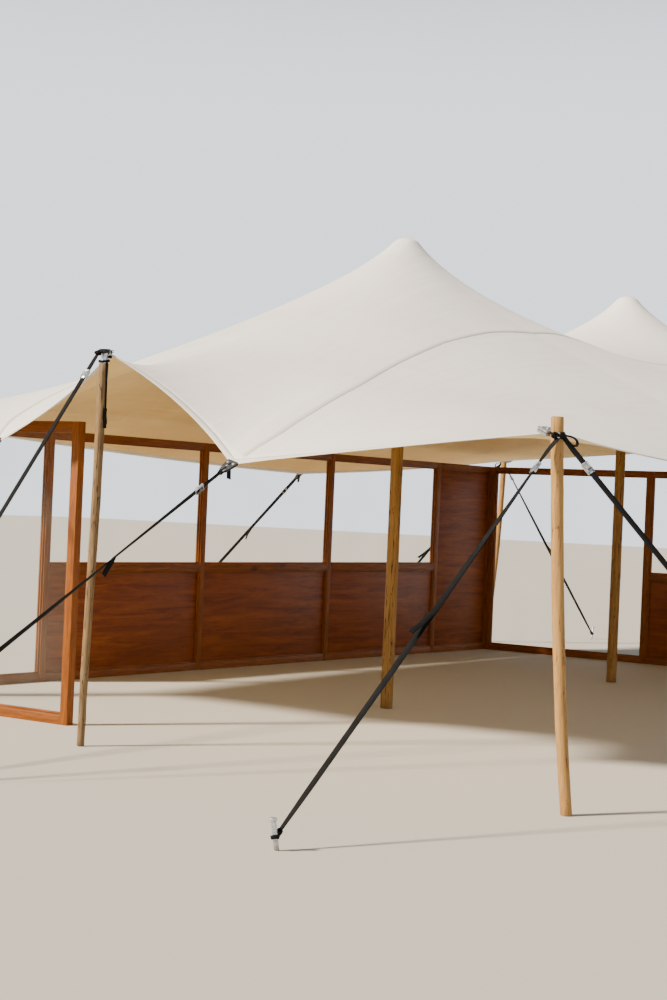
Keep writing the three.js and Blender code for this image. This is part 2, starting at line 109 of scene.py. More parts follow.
def add_node(
    tree: bpy.types.NodeTree,
    kind: str,
    inputs: dict[int | str, object] | None = None,
    out: int | str = 0,
    **settings: object,
) -> bpy.types.NodeSocket:
    """Adds a shader node with its settings, its values and its links.

    Args:
        tree: The node tree that gets the node.
        kind: The node's type, without the word ShaderNode.
        inputs: What each input gets, by its name or number.
        out: The name or number of the output that is wanted.
        settings: The node's own properties.

    Returns:
        That output.
    """
    node = tree.nodes.new("ShaderNode" + kind)
    for name, value in settings.items():
        setattr(node, name, value)
    for name, value in (inputs or {}).items():
        plug(node.inputs[name], value)
    return node.outputs[out]


def surface(shader: bpy.types.Node, **values: object) -> None:
    """Sets a shader's inputs, which are named with spaces where the keywords have underscores.

    Args:
        shader: The shader.
        values: What each input gets, such as Coat_Weight.
    """
    for name, value in values.items():
        plug(shader.inputs[name.replace("_", " ")], value)


def showing(
    tree: bpy.types.NodeTree,
    pattern: bpy.types.NodeSocket,
    limits: tuple[float, float],
    most: float,
    under: object,
    over: object,
) -> bpy.types.NodeSocket:
    """Lets one colour show over another where a pattern is strong.

    Args:
        tree: The material's node tree.
        pattern: The pattern.
        limits: Its values where the upper colour starts and where it is full.
        most: How much of it shows there.
        under: The lower colour.
        over: The upper colour.

    Returns:
        The mixed colour.
    """
    span = {"Value": pattern, "From Min": limits[0], "From Max": limits[1], "To Max": most}
    share = add_node(tree, "MapRange", span)
    return add_node(tree, "Mix", {0: share, 6: under, 7: over}, out=2, data_type="RGBA")


@dataclass(frozen=True)
class Finish:
    """What a surface is made of. Each kind dresses one Principled shader."""

    name: str

    def material(self) -> bpy.types.Material:
        """Returns the finish's material, made once."""
        return built(self)

    def dress(self, tree: bpy.types.NodeTree, shader: bpy.types.Node) -> None:
        """Sets the shader's values and patterns.

        Args:
            tree: The material's node tree.
            shader: Its Principled shader.
        """
        raise NotImplementedError


@lru_cache(maxsize=None)
def built(finish: Finish) -> bpy.types.Material:
    """Makes the material of a finish.

    Args:
        finish: The finish.

    Returns:
        Its material.
    """
    material = bpy.data.materials.new(finish.name)
    material.use_nodes = True
    finish.dress(material.node_tree, material.node_tree.nodes["Principled BSDF"])
    return material


@dataclass(frozen=True)
class StretchFabric(Finish):
    """Two-way stretch knit of polyester, coated on the weather side.

    The eye gets an even, almost matte cloth with faint clouds of dust, thin streaks along the pull, and a
    knit that is drawn at 9 mm because the real 0.6 mm stitch is far below a pixel.
    """

    light: str = "#EFEBE6"
    dusty: str = "#DDD7CF"
    streak_depth: float = 5 * MM
    sheen: float = 0.12
    rough: float = 0.72
    glow: float = 0.0

    cloud_size = 0.9
    fleck_size = 0.02
    knit_pitch = 9 * MM
    knit_depth = 0.12 * MM
    streak_length = 1.6
    streak_width = 0.09
    glow_depth = 4 * MM

    def dress(self, tree: bpy.types.NodeTree, shader: bpy.types.Node) -> None:
        """See Finish."""
        place = add_node(tree, "TexCoord", out="Object")
        cloth = add_node(tree, "UVMap", uv_map=CLOTH_UV)
        wide = {"Scale": 1 / self.cloud_size, "Detail": 4.0, "Roughness": 0.6}
        clouds = add_node(tree, "TexNoise", {"Vector": place, **wide})
        flecks = add_node(tree, "TexNoise", {"Vector": place, "Scale": 1 / self.fleck_size, "Detail": 2.0})
        soiled = showing(tree, clouds, (0.35, 0.75), 0.7, self.light, self.dusty)
        colour = showing(tree, flecks, (0.6, 0.8), 0.25, soiled, self.dusty)
        drawn = (1 / self.streak_length, 1 / self.streak_width, 1.0)
        drawn = add_node(tree, "Mapping", {"Vector": cloth, "Scale": drawn})
        streaks = add_node(tree, "TexNoise", {"Vector": drawn, "Scale": 1.0, "Detail": 3.0})
        ribs = add_node(
            tree,
            "TexWave",
            {"Vector": cloth, "Scale": WAVE / self.knit_pitch, "Distortion": 0.6, "Detail": 1.0},
            out=1,
            bands_direction="DIAGONAL",
        )
        pulled = add_node(tree, "Bump", {"Height": streaks, "Strength": 1.0, "Distance": self.streak_depth})
        knit = {"Height": ribs, "Strength": 1.0, "Distance": self.knit_depth, "Normal": pulled}
        shine = {"From Min": 0.3, "From Max": 0.7, "To Min": self.rough - 0.06, "To Max": self.rough + 0.08}
        surface(
            shader,
            Base_Color=colour,
            Normal=add_node(tree, "Bump", knit),
            Roughness=add_node(tree, "MapRange", {"Value": clouds, **shine}),
            Sheen_Weight=self.sheen,
            Sheen_Roughness=0.45,
            IOR=1.46,
            Subsurface_Weight=self.glow,
            Subsurface_Scale=self.glow_depth,
            Subsurface_Radius=(1.0, 0.9, 0.7),
        )


@dataclass(frozen=True)
class StitchedBand(Finish):
    """Folded fabric band with two rows of lockstitch near its edges.

    The eye gets a slightly thicker, cleaner strip with a dotted dent along each edge. Stitches are drawn
    14 mm apart, about three times the real pitch, so that they show.
    """

    cloth: str = "#E9E5DF"
    thread: str = "#C9C3B8"
    width: float = 45 * MM

    rows = (0.14, 0.86)
    stitch_pitch = 14 * MM
    stitch_share = 0.65
    row_width = 0.05
    dust_size = 1 / 3

    def dress(self, tree: bpy.types.NodeTree, shader: bpy.types.Node) -> None:
        """See Finish."""
        cloth = add_node(tree, "UVMap", uv_map=CLOTH_UV)
        place = add_node(tree, "TexCoord", out="Object")
        along = add_node(tree, "SeparateXYZ", {0: cloth})
        across = add_node(tree, "SeparateXYZ", {0: cloth}, out=1)
        dots = add_node(tree, "Math", {0: along, 1: self.stitch_pitch, 2: 0.0}, operation="WRAP")
        drawn = self.stitch_share * self.stitch_pitch
        dots = add_node(tree, "Math", {0: dots, 1: drawn}, operation="LESS_THAN")
        near = {}
        for i, row in enumerate(self.rows):
            apart = {0: across, 1: row * self.width, 2: self.row_width * self.width}
            near[i] = add_node(tree, "Math", apart, operation="COMPARE")
        rows = add_node(tree, "Math", near, operation="MAXIMUM")
        stitch = add_node(tree, "Math", {0: rows, 1: dots}, operation="MULTIPLY")
        dust = add_node(tree, "TexNoise", {"Vector": place, "Scale": 1 / self.dust_size, "Detail": 4.0})
        ground = add_node(tree, "Mix", {0: dust, 6: self.cloth, 7: self.thread}, out=2, data_type="RGBA")
        sewn = add_node(tree, "Mix", {0: stitch, 6: ground, 7: self.thread}, out=2, data_type="RGBA")
        dent = add_node(tree, "Bump", {"Height": stitch, "Strength": 0.6, "Distance": 0.6 * MM}, invert=True)
        surface(shader, Base_Color=sewn, Normal=dent, Roughness=0.75, Sheen_Weight=0.15, IOR=1.46)


@dataclass(frozen=True)
class Webbing(Finish):
    """Woven polyester strap, dyed black.

    The eye gets fine ribs across the band, drawn at 5 mm instead of 1.5 mm, and dull greyish patches that
    are partly rubbed weave and partly a painted sheen in the base colour.
    """

    dark: str = "#070708"
    # Lighter grey of rubbed weave, partly a painted sheen.
    rubbed_and_sheen: str = "#131417"

    rib_pitch = 5 * MM
    wear_and_sheen_size = 71.43 * MM

    def dress(self, tree: bpy.types.NodeTree, shader: bpy.types.Node) -> None:
        """See Finish."""
        cloth = add_node(tree, "UVMap", uv_map=CLOTH_UV)
        place = add_node(tree, "TexCoord", out="Object")
        weave = {"Vector": cloth, "Scale": WAVE / self.rib_pitch, "Distortion": 0.4, "Detail": 1.0}
        ribs = add_node(tree, "TexWave", weave, out=1)
        # Painted sheen: these patches carry lighter grey that is partly rubbed weave and partly the webbing's
        # sheen painted into its base colour.
        wear = add_node(tree, "TexNoise", {"Vector": place, "Scale": 1 / self.wear_and_sheen_size, "Detail": 4.0})
        surface(
            shader,
            Base_Color=showing(tree, wear, (0.4, 0.75), 0.8, self.dark, self.rubbed_and_sheen),
            Normal=add_node(tree, "Bump", {"Height": ribs, "Strength": 0.7, "Distance": 0.5 * MM}),
            Roughness=0.7,
            Specular_IOR_Level=0.15,
        )


@dataclass(frozen=True)
class ZincSteel(Finish):
    """Hot-dip galvanised steel.

    The eye gets a pale grey metal broken into dull and bright crystals about 9 mm across, and a little brown
    towards the ground where soil has scoured it.
    """

    bright: str = "#D6DADD"
    dull: str = "#A9AFB4"
    rust: str = "#7A5A40"
    rust_height: float = 0.0

    crystal = 9 * MM
    grime_size = 16.667 * MM
    pit_size = 2.5 * MM

    def dress(self, tree: bpy.types.NodeTree, shader: bpy.types.Node) -> None:
        """See Finish."""
        place = add_node(tree, "TexCoord", out="Object")
        crystals = {"Vector": place, "Scale": 1 / self.crystal}
        tone = add_node(tree, "SeparateColor", {0: add_node(tree, "TexVoronoi", crystals, out="Color")})
        colour = add_node(tree, "Mix", {0: tone, 6: self.bright, 7: self.dull}, out=2, data_type="RGBA")
        if self.rust_height > 0:
            height = add_node(tree, "SeparateXYZ", {0: place}, out=2)
            grime = add_node(tree, "TexNoise", {"Vector": place, "Scale": 1 / self.grime_size, "Detail": 5.0})
            fade = {"Value": height, "From Max": self.rust_height, "To Min": 1.0, "To Max": 0.0}
            low = add_node(tree, "MapRange", fade)
            share = add_node(tree, "Math", {0: low, 1: grime}, operation="MULTIPLY")
            colour = add_node(tree, "Mix", {0: share, 6: colour, 7: self.rust}, out=2, data_type="RGBA")
        pits = add_node(tree, "TexNoise", {"Vector": place, "Scale": 1 / self.pit_size, "Detail": 2.0})
        shine = {"Value": tone.node.outputs[1], "To Min": 0.3, "To Max": 0.5}
        surface(
            shader,
            Base_Color=colour,
            Normal=add_node(tree, "Bump", {"Height": pits, "Strength": 0.3, "Distance": 0.2 * MM}),
            Roughness=add_node(tree, "MapRange", shine),
            Metallic=0.85,
        )


@dataclass(frozen=True)
class WornSkin(Finish):
    """A fine moulded or sprayed skin that wear or dust has marked in patches."""

    base: str = "#3B3C40"
    mark: str = "#7D7F84"
    mark_limits: tuple[float, float] = (0.55, 0.75)
    mark_size: float = 14.286 * MM
    mark_detail: float = 6.0
    mark_rough: float = 0.7
    pebbles: bool = False
    grit: float = 1.1111 * MM
    grit_strength: float = 0.25
    grit_depth: float = 0.1 * MM
    rough: float = 0.45
    metal: float = 0.2

    def dress(self, tree: bpy.types.NodeTree, shader: bpy.types.Node) -> None:
        """See Finish."""
        place = add_node(tree, "TexCoord", out="Object")
        worn = {"Scale": 1 / self.mark_size, "Detail": self.mark_detail, "Roughness": self.mark_rough}
        wear = add_node(tree, "TexNoise", {"Vector": place, **worn})
        kind = "TexVoronoi" if self.pebbles else "TexNoise"
        skin = add_node(tree, kind, {"Vector": place, "Scale": 1 / self.grit})
        relief = {"Height": skin, "Strength": self.grit_strength, "Distance": self.grit_depth}
        surface(
            shader,
            Base_Color=showing(tree, wear, self.mark_limits, 1.0, self.base, self.mark),
            Normal=add_node(tree, "Bump", relief),
            Roughness=self.rough,
            Metallic=self.metal,
        )


@dataclass(frozen=True)
class Timber(Finish):
    """Softwood whose grain runs along one axis, planed or left round, stained, peeled or weathered.

    The eye gets long growth rings drawn out along the grain, thin fibres on top of them, a few knots, and
    where the wood has dried outdoors also dark checks that follow the grain.
    """

    light: str = "#8E5013"
    middle: str = "#693606"
    dark: str = "#361604"
    grain: Grain = Grain.Z
    ring_width: float = 16 * MM
    checks: float = 0.0
    rough: float = 0.5
    knot_share: float = 0.09

    gloss = 0.22
    fibre_width = 2.5 * MM
    check_width = 22 * MM
    knot_spacing = 0.42

    def drawn(self, tree: bpy.types.NodeTree, along: float) -> bpy.types.NodeSocket:
        """Draws object coordinates out along the grain.

        Args:
            tree: The material's node tree.
            along: How much a length along the grain counts, below 1.

        Returns:
            The coordinates.
        """
        scale = [along if axis is self.grain else 1.0 for axis in Grain]
        place = add_node(tree, "TexCoord", out="Object")
        return add_node(tree, "Mapping", {"Vector": place, "Scale": scale})

    def dress(self, tree: bpy.types.NodeTree, shader: bpy.types.Node) -> None:
        """See Finish."""
        wide = {"Scale": 1 / self.ring_width, "Detail": 4.0, "Roughness": 0.6, "Distortion": 0.9}
        rings = add_node(tree, "TexNoise", {"Vector": self.drawn(tree, 0.07), **wide})
        fine = {"Scale": 1 / self.fibre_width, "Detail": 3.0}
        fibres = add_node(tree, "TexNoise", {"Vector": self.drawn(tree, 0.03), **fine})
        cells = {"Vector": self.drawn(tree, 0.55), "Scale": 1 / self.knot_spacing}
        knots = add_node(tree, "TexVoronoi", cells)
        body = showing(tree, rings, (0.32, 0.68), 1.0, self.light, self.middle)
        lined = showing(tree, fibres, (0.5, 0.8), 0.55, body, self.dark)
        knot = {"Value": knots, "From Max": self.knot_share, "To Min": 0.9, "To Max": 0.0}
        knot = add_node(tree, "MapRange", knot)
        colour = add_node(tree, "Mix", {0: knot, 6: lined, 7: self.dark}, out=2, data_type="RGBA")
        height = fibres
        if self.checks > 0:
            long = {"Scale": 1 / self.check_width, "Detail": 2.0, "Distortion": 0.4}
            splits = add_node(tree, "TexNoise", {"Vector": self.drawn(tree, 0.05), **long})
            line = add_node(tree, "Math", {0: splits, 1: 0.5, 2: 0.008 * self.checks}, operation="COMPARE")
            colour = add_node(tree, "Mix", {0: line, 6: colour, 7: self.dark}, out=2, data_type="RGBA")
            height = add_node(tree, "Math", {0: height, 1: line}, operation="SUBTRACT")
        shine = {"Value": fibres, "To Min": self.rough - 0.12, "To Max": self.rough + 0.15}
        surface(
            shader,
            Base_Color=colour,
            Normal=add_node(tree, "Bump", {"Height": height, "Strength": 0.6, "Distance": 0.8 * MM}),
            Roughness=add_node(tree, "MapRange", shine),
            Specular_IOR_Level=self.gloss,
        )


@dataclass(frozen=True)
class FloatGlass(Finish):
    """Clear float glass, 6 mm thick.

    The eye looks straight through it: a faint green body, a soft reflection, and a film of dust and dried
    rain that shows in patches.
    """

    tint: str = "#A9BDB4"
    body: float = 0.02
    film: float = 0.045

    dust_size = 454.55 * MM

    def dress(self, tree: bpy.types.NodeTree, shader: bpy.types.Node) -> None:
        """See Finish."""
        place = add_node(tree, "TexCoord", out="Object")
        dust = {"Vector": place, "Scale": 1 / self.dust_size, "Detail": 7.0, "Roughness": 0.6}
        dust = add_node(tree, "TexNoise", dust)
        cover = {"From Min": 0.45, "From Max": 0.8, "To Min": self.body, "To Max": self.film}
        surface(
            shader,
            Base_Color=self.tint,
            Alpha=add_node(tree, "MapRange", {"Value": dust, **cover}),
            Roughness=add_node(tree, "MapRange", {"Value": dust, "To Min": 0.02, "To Max": 0.12}),
            IOR=1.52,
            Specular_IOR_Level=0.25,
        )


@dataclass(frozen=True)
class StudioFloor(Finish):
    """Pale painted floor of the studio, even and matte."""

    base: str = "#BDB9B1"

    def dress(self, tree: bpy.types.NodeTree, shader: bpy.types.Node) -> None:
        """See Finish."""
        surface(shader, Base_Color=self.base, Roughness=0.85)


OUTER_CLOTH = StretchFabric("coated_stretch_knit")
LINING = StretchFabric("stretch_knit_lining", "#E7CB80", "#CDAD62", 11 * MM, sheen=0.2, rough=0.8, glow=0.35)
HEM_BAND = StitchedBand("folded_hem")
SEAM_BAND = StitchedBand("overlocked_seam", "#D8D3CC", "#C6C0B7", 40 * MM)
LINING_SEAM = StitchedBand("overlocked_seam_inside", "#CFB780", "#B79C69", 40 * MM)
STRAP_WEB = Webbing("polyester_webbing")
ZINC = ZincSteel("galvanised_steel")
ZINC_GROUND = ZincSteel("galvanised_ground_steel", rust_height=0.09)
# Powder coat: an orange-peel skin with a soft gloss and pale scuffs. The bare plates have the same marks.
PLATE_STEEL = WornSkin("powder_coated_plate")
BARE_STEEL = WornSkin("bare_steel_plate", "#85888C", "#B9BCC0")
# Moulded rubber: an even matte black with dust settled in its pebbled texture.
CAP_RUBBER = WornSkin(
    "moulded_rubber",
    "#1E1F21",
    "#57544F",
    mark_limits=(0.45, 0.8),
    mark_size=40 * MM,
    mark_detail=5.0,
    mark_rough=0.5,
    pebbles=True,
    grit=1.4286 * MM,
    grit_strength=0.3,
    grit_depth=0.2 * MM,
    rough=0.7,
    metal=0.0,
)
STAIN = {g: Timber(f"stained_softwood_{g.name.lower()}", grain=g) for g in Grain}
PLYWOOD = {
    g: Timber(f"stained_plywood_{g.name.lower()}", "#8E4A11", "#692D04", "#301103", g, 55 * MM, 0.0, 0.5, 0.1)
    for g in (Grain.X, Grain.Y)
}
PEELED = Timber("peeled_pole", "#B08A52", "#946C38", "#6A4521", Grain.Z, 30 * MM, 0.7, 0.62, 0.05)
WEATHERED = Timber("weathered_pole", "#8A714F", "#6B5338", "#40301F", Grain.Z, 14 * MM, 1.3, 0.78, 0.08)
CENTRE_WOOD = Timber("oiled_round_timber", "#A07536", "#7E5822", "#472A0C", Grain.Z, 26 * MM, 1.2, 0.55, 0.08)
PANE = FloatGlass("float_glass")


def laid_along(start: Vector, end: Vector, face: Vector = UP) -> Matrix:
    """Makes a frame whose X runs from one point to another.

    Args:
        start: The frame's origin.
        end: The point that X aims at.
        face: The direction that Z takes, as far as X lets it.

    Returns:
        The frame as a matrix.
    """
    along = (end - start).normalized()
    side = face.cross(along).normalized()
    turn = Matrix((along, side, along.cross(side))).transposed().to_4x4()
    return Matrix.Translation(start) @ turn


def moved(x: float, y: float, z: float) -> Matrix:
    """Returns the frame that is moved by three lengths."""
    return Matrix.Translation((x, y, z))


def spun(angle: float, axis: str) -> Matrix:
    """Returns the frame that is turned about one axis, in radians."""
    return Matrix.Rotation(angle, 4, axis)


def bevel(part: bmesh.types.BMesh, edges: list[bmesh.types.BMEdge], width: float, segments: int = 2) -> None:
    """Bevels some edges of a part.

    Args:
        part: The part's mesh.
        edges: The edges.
        width: The width of the bevel.
        segments: Its steps.
    """
    look = {"affect": "EDGES", "segments": segments, "profile": 0.5, "material": -1}
    bmesh.ops.bevel(part, geom=edges, offset=width, **look)


def block(size: Sequence[float], edge: float) -> bmesh.types.BMesh:
    """Makes a bevelled board about the origin.

    Args:
        size: Its three sides.
        edge: The width of the bevel.

    Returns:
        The mesh.
    """
    part = bmesh.new()
    bmesh.ops.create_cube(part, size=1.0, matrix=Matrix.Diagonal((*size, 1.0)))
    bevel(part, part.edges[:], edge)
    return part


def rod(radius: float, length: float, edge: float, sides: int = 16) -> bmesh.types.BMesh:
    """Makes a round bar along Z about the origin, with its two rims bevelled.

    Args:
        radius: The bar's radius.
        length: Its length.
        edge: The width of the bevel.
        sides: The number of sides.

    Returns:
        The mesh.
    """
    part = bmesh.new()
    bmesh.ops.create_cone(part, cap_ends=True, segments=sides, radius1=radius, radius2=radius, depth=length)
    bevel(part, [e for e in part.edges if abs(e.verts[0].co.z - e.verts[1].co.z) < length / 4], edge)
    return part


def turned(profile: Sequence[tuple[float, float]], steps: int = 24) -> bmesh.types.BMesh:
    """Makes a shape turned about Z.

    Args:
        profile: Radius and height of each point in millimetres, from the foot of the axis to its top.
        steps: The number of sides.

    Returns:
        The mesh.
    """
    part = bmesh.new()
    points = [part.verts.new((radius * MM, 0.0, height * MM)) for radius, height in profile]
    edges = [part.edges.new(pair) for pair in zip(points, points[1:])]
    round_z = {"cent": (0, 0, 0), "axis": (0, 0, 1), "angle": math.tau}
    bmesh.ops.spin(part, geom=points + edges, steps=steps, use_merge=True, **round_z)
    bmesh.ops.remove_doubles(part, verts=part.verts, dist=MM / 1000)
    bmesh.ops.recalc_face_normals(part, faces=part.faces)
    return part


def loft(rings: Sequence[Sequence[Vector]], closed: bool = False) -> bmesh.types.BMesh:
    """Extrudes a closed outline through its places.

    The cloth map holds the length along the run and the length round the outline, in metres.

    Args:
        rings: The outline's points at each place.
        closed: Whether the run ends where it began. The ends get caps otherwise.

    Returns:
        The mesh.
    """
    part = bmesh.new()
    cloth = part.loops.layers.uv.new(CLOTH_UV)
    places = list(rings) + ([rings[0]] if closed else [])
    count = len(places[0])
    girth = [0.0]
    for i in range(count):
        girth.append(girth[-1] + (places[0][(i + 1) % count] - places[0][i]).length)
    row = [part.verts.new(p) for p in places[0]]
    edges = [part.edges.new((row[i], row[(i + 1) % count])) for i in range(count)]
    where = {v: (0.0, i) for i, v in enumerate(row)}
    run = 0.0
    first = list(edges)
    for before, place in zip(places, places[1:]):
        run += (sum(place, Vector()) / count - sum(before, Vector()) / count).length
        made = bmesh.ops.extrude_edge_only(part, edges=edges)["geom"]
        fresh = {g for g in made if isinstance(g, bmesh.types.BMVert)}
        row = [next(o for o in (e.other_vert(v) for e in v.link_edges) if o in fresh) for v in row]
        for i, (v, p) in enumerate(zip(row, place)):
            v.co = p
            where[v] = (run, i)
        edges = [g for g in made if isinstance(g, bmesh.types.BMEdge) and set(g.verts) <= fresh]
    for face in part.faces:
        wraps = {where[v][1] for v in face.verts} == {0, count - 1} and count > 2
        for corner in face.loops:
            at, column = where[corner.vert]
            corner[cloth].uv = (at, girth[count if wraps and column == 0 else column])
    if closed:
        bmesh.ops.remove_doubles(part, verts=part.verts, dist=MM / 10000)
    else:
        bmesh.ops.contextual_create(part, geom=first)
        bmesh.ops.contextual_create(part, geom=edges)
    bmesh.ops.recalc_face_normals(part, faces=part.faces)
    return part


def each(value: object, count: int) -> Sequence:
    """Returns the values of a band's points, where one value may stand for all."""
    return value if isinstance(value, (list, tuple)) else [value] * count


def ribbon(
    path: Sequence[Vector],
    sides: Sequence[Vector] | Vector,
    widths: Sequence[float] | float,
    thick: Sequence[float] | float,
    closed: bool = False,
) -> bmesh.types.BMesh:
    """Makes a flat band with softened edges along a path.

    Args:
        path: The middle of the band.
        sides: The direction of its width, at each point or at all.
        widths: Its width, at each point or at all.
        thick: Its thickness, at each point or at all.
        closed: Whether the path is a loop.

    Returns:
        The mesh.
    """
    rings = []
    size = len(path)
    rows = zip(path, each(sides, size), each(widths, size), each(thick, size))
    for i, (p, side, width, height) in enumerate(rows):
        ahead = path[(i + 1) % size] if closed or i < size - 1 else p
        behind = path[i - 1] if closed or i > 0 else p
        side = side.normalized()
        top = (ahead - behind).normalized().cross(side).normalized()
        w, t = width / 2, height / 2
        half = [(-w, -t / 2), (-w, t / 2), (t - w, t), (w - t, t)]
        rings.append([p + side * a + top * b for a, b in half + [(-a, -b) for a, b in half]])
    return loft(rings, closed)


def hoop(
    middle: Vector,
    right: Vector,
    up: Vector,
    side: Vector,
    size: tuple[float, float],
    count: int = 16,
    leans: tuple[Vector, Vector] = (Vector(), Vector()),
) -> bmesh.types.BMesh:
    """Makes a closed band round an ellipse.

    Args:
        middle: The ellipse's middle.
        right: Its first half axis.
        up: Its second half axis.
        side: The direction of the band's width.
        size: The band's width and thickness.
        count: The number of points.
        leans: What the width's direction gains at the end of each half axis.

    Returns:
        The mesh.
    """
    turns = [math.tau * k / count for k in range(count)]
    path = [middle + right * math.cos(a) + up * math.sin(a) for a in turns]
    sides = [side + leans[0] * math.cos(a) + leans[1] * math.sin(a) for a in turns]
    return ribbon(path, sides, *size, closed=True)


class Piece:
    """One object of the tent while its mesh is put together."""

    def __init__(self, name: str) -> None:
        """Starts an empty piece.

        Args:
            name: The object's name.
        """
        self.name = name
        self.body = bmesh.new()
        self.body.loops.layers.uv.new(CLOTH_UV)
        self.finishes: list[Finish] = []

    def take(self, part: bmesh.types.BMesh, finish: Finish, place: Matrix = Matrix.Identity(4)) -> None:
        """Adds a part and frees its own mesh.

        Args:
            part: The part's mesh.
            finish: What it is made of.
            place: Where it goes.
        """
        if finish not in self.finishes:
            self.finishes.append(finish)
        bmesh.ops.transform(part, matrix=place, verts=part.verts)
        for face in part.faces:
            face.material_index = self.finishes.index(finish)
            face.smooth = True
        carrier = bpy.data.meshes.new("carrier")
        part.to_mesh(carrier)
        part.free()
        self.body.from_mesh(carrier)
        bpy.data.meshes.remove(carrier)

    def done(self, slot: str, *nodes: str, sharp: float = 40.0) -> bpy.types.Object:
        """Finishes the piece and sets it in the frame.

        Args:
            slot: The name of a material slot; not used.
            nodes: The solids that it stands for.
            sharp: The angle in degrees above which an edge stays sharp.

        Returns:
            The object.
        """
        mesh = bpy.data.meshes.new(self.name)
        self.body.to_mesh(mesh)
        self.body.free()
        for finish in self.finishes:
            mesh.materials.append(finish.material())
        mesh.set_sharp_from_angle(angle=math.radians(sharp))
        made = bpy.data.objects.new(self.name, mesh)
        bpy.context.scene.collection.objects.link(made)
        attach(made, "root")
        if nodes:
            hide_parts(*nodes)
        log.info("%s: %d faces", self.name, len(mesh.polygons))
        return made


class Edge(Enum):
    """An edge of the canopy, with the direction that it faces."""

    WEST = (-1, 0)
    EAST = (1, 0)
    FRONT = (0, -1)
    BACK = (0, 1)

    @property
    def way(self) -> Vector:
        """Returns the direction in space."""
        return Vector((*self.value, 0))


@dataclass(frozen=True)
class Held:
    """A point where the canopy's edge is held, and how the stretch to the next one curves.

    s is the grid line, out the distance from the ridge or the middle, z the height, bow the curve inwards,
    sag the curve down, and shift how far the real place lies from the grid line.
    """

    s: float
    out: float
    z: float
    bow: float = 0.0
    sag: float = 0.0
    shift: float = 0.0


@dataclass
class Tent:
    """The tent's main places, in metres, as the solids have them."""

    half_length: float = 5.338
    half_width: float = 3.249
    peak_x: float = 1.894
    peak_height: float = 3.618
    seam_y: float = 1.150
    front_corner_z: float = 1.965
    corner_z: float = 2.160
    high_z: float = 2.408
    front_low_z: float = 1.780
    back_low_z: float = 1.850
    back_low_x: float = 1.534
    end_edge: float = 5.360
    side_edge: float = 3.450
    end_tip_y: float = -0.160
    corner_rise: float = 0.075
    high_rise: float = -0.003
    high_clear: float = 0.022
    corner_base: tuple[float, float] = (5.280, 3.370)
    corner_top: tuple[float, float] = (5.358, 3.262)
    stake_lean: float = 0.25
    loop_z: float = 0.060
    loop_step: float = 0.024
    plate_rise: float = 0.45
    plate_length: float = 0.100
    plate_bite: float = 0.024
    plate_height: float = 0.018
    end_stake_x: float = 7.470
    west_stake_y: float = -0.460

    def held(self) -> dict[Edge, list[Held]]:
        """Sets out the held points of each edge.

        Returns:
            The points of each edge in order.
        """
        wide, long, low = self.half_width, self.half_length, self.seam_y
        near, far, high, side = self.front_corner_z, self.corner_z, self.high_z, self.side_edge
        return {
            Edge.WEST: [
                Held(-wide, long, near, 0.100, -0.018),
                Held(-low, 5.370, 1.750, 0.100, -0.020),
                Held(0.0, self.end_edge, high, 0.080, shift=self.end_tip_y),
                Held(low, 5.000, 1.860, 0.100, 0.020),
                Held(wide, long, far),
            ],
            Edge.EAST: [
                Held(-wide, long, far, 0.140, 0.020),
                Held(0.0, self.end_edge, high, 0.140, 0.020),
                Held(wide, long, far),
            ],
            Edge.FRONT: [
                Held(-long, wide, near, 0.250),
                Held(-low, side, self.front_low_z, 0.080),
                Held(0.0, side, high, 0.080),
                Held(low, side, self.front_low_z, 0.250),
                Held(long, wide, far),
            ],
            Edge.BACK: [
                Held(-long, wide, far, -0.050, 0.050),
                Held(self.back_low_x, side, self.back_low_z, -0.050, 0.030),
                Held(long, wide, far),
            ],
        }

    def tips(self, edge: Edge) -> list[Vector]:
        """Places the held points of one edge in space.

        Args:
            edge: The edge.

        Returns:
            The points in order.
        """
        along = Vector((abs(edge.way.y), abs(edge.way.x), 0))
        return [edge.way * p.out + along * (p.s + p.shift) + UP * p.z for p in self.held()[edge]]


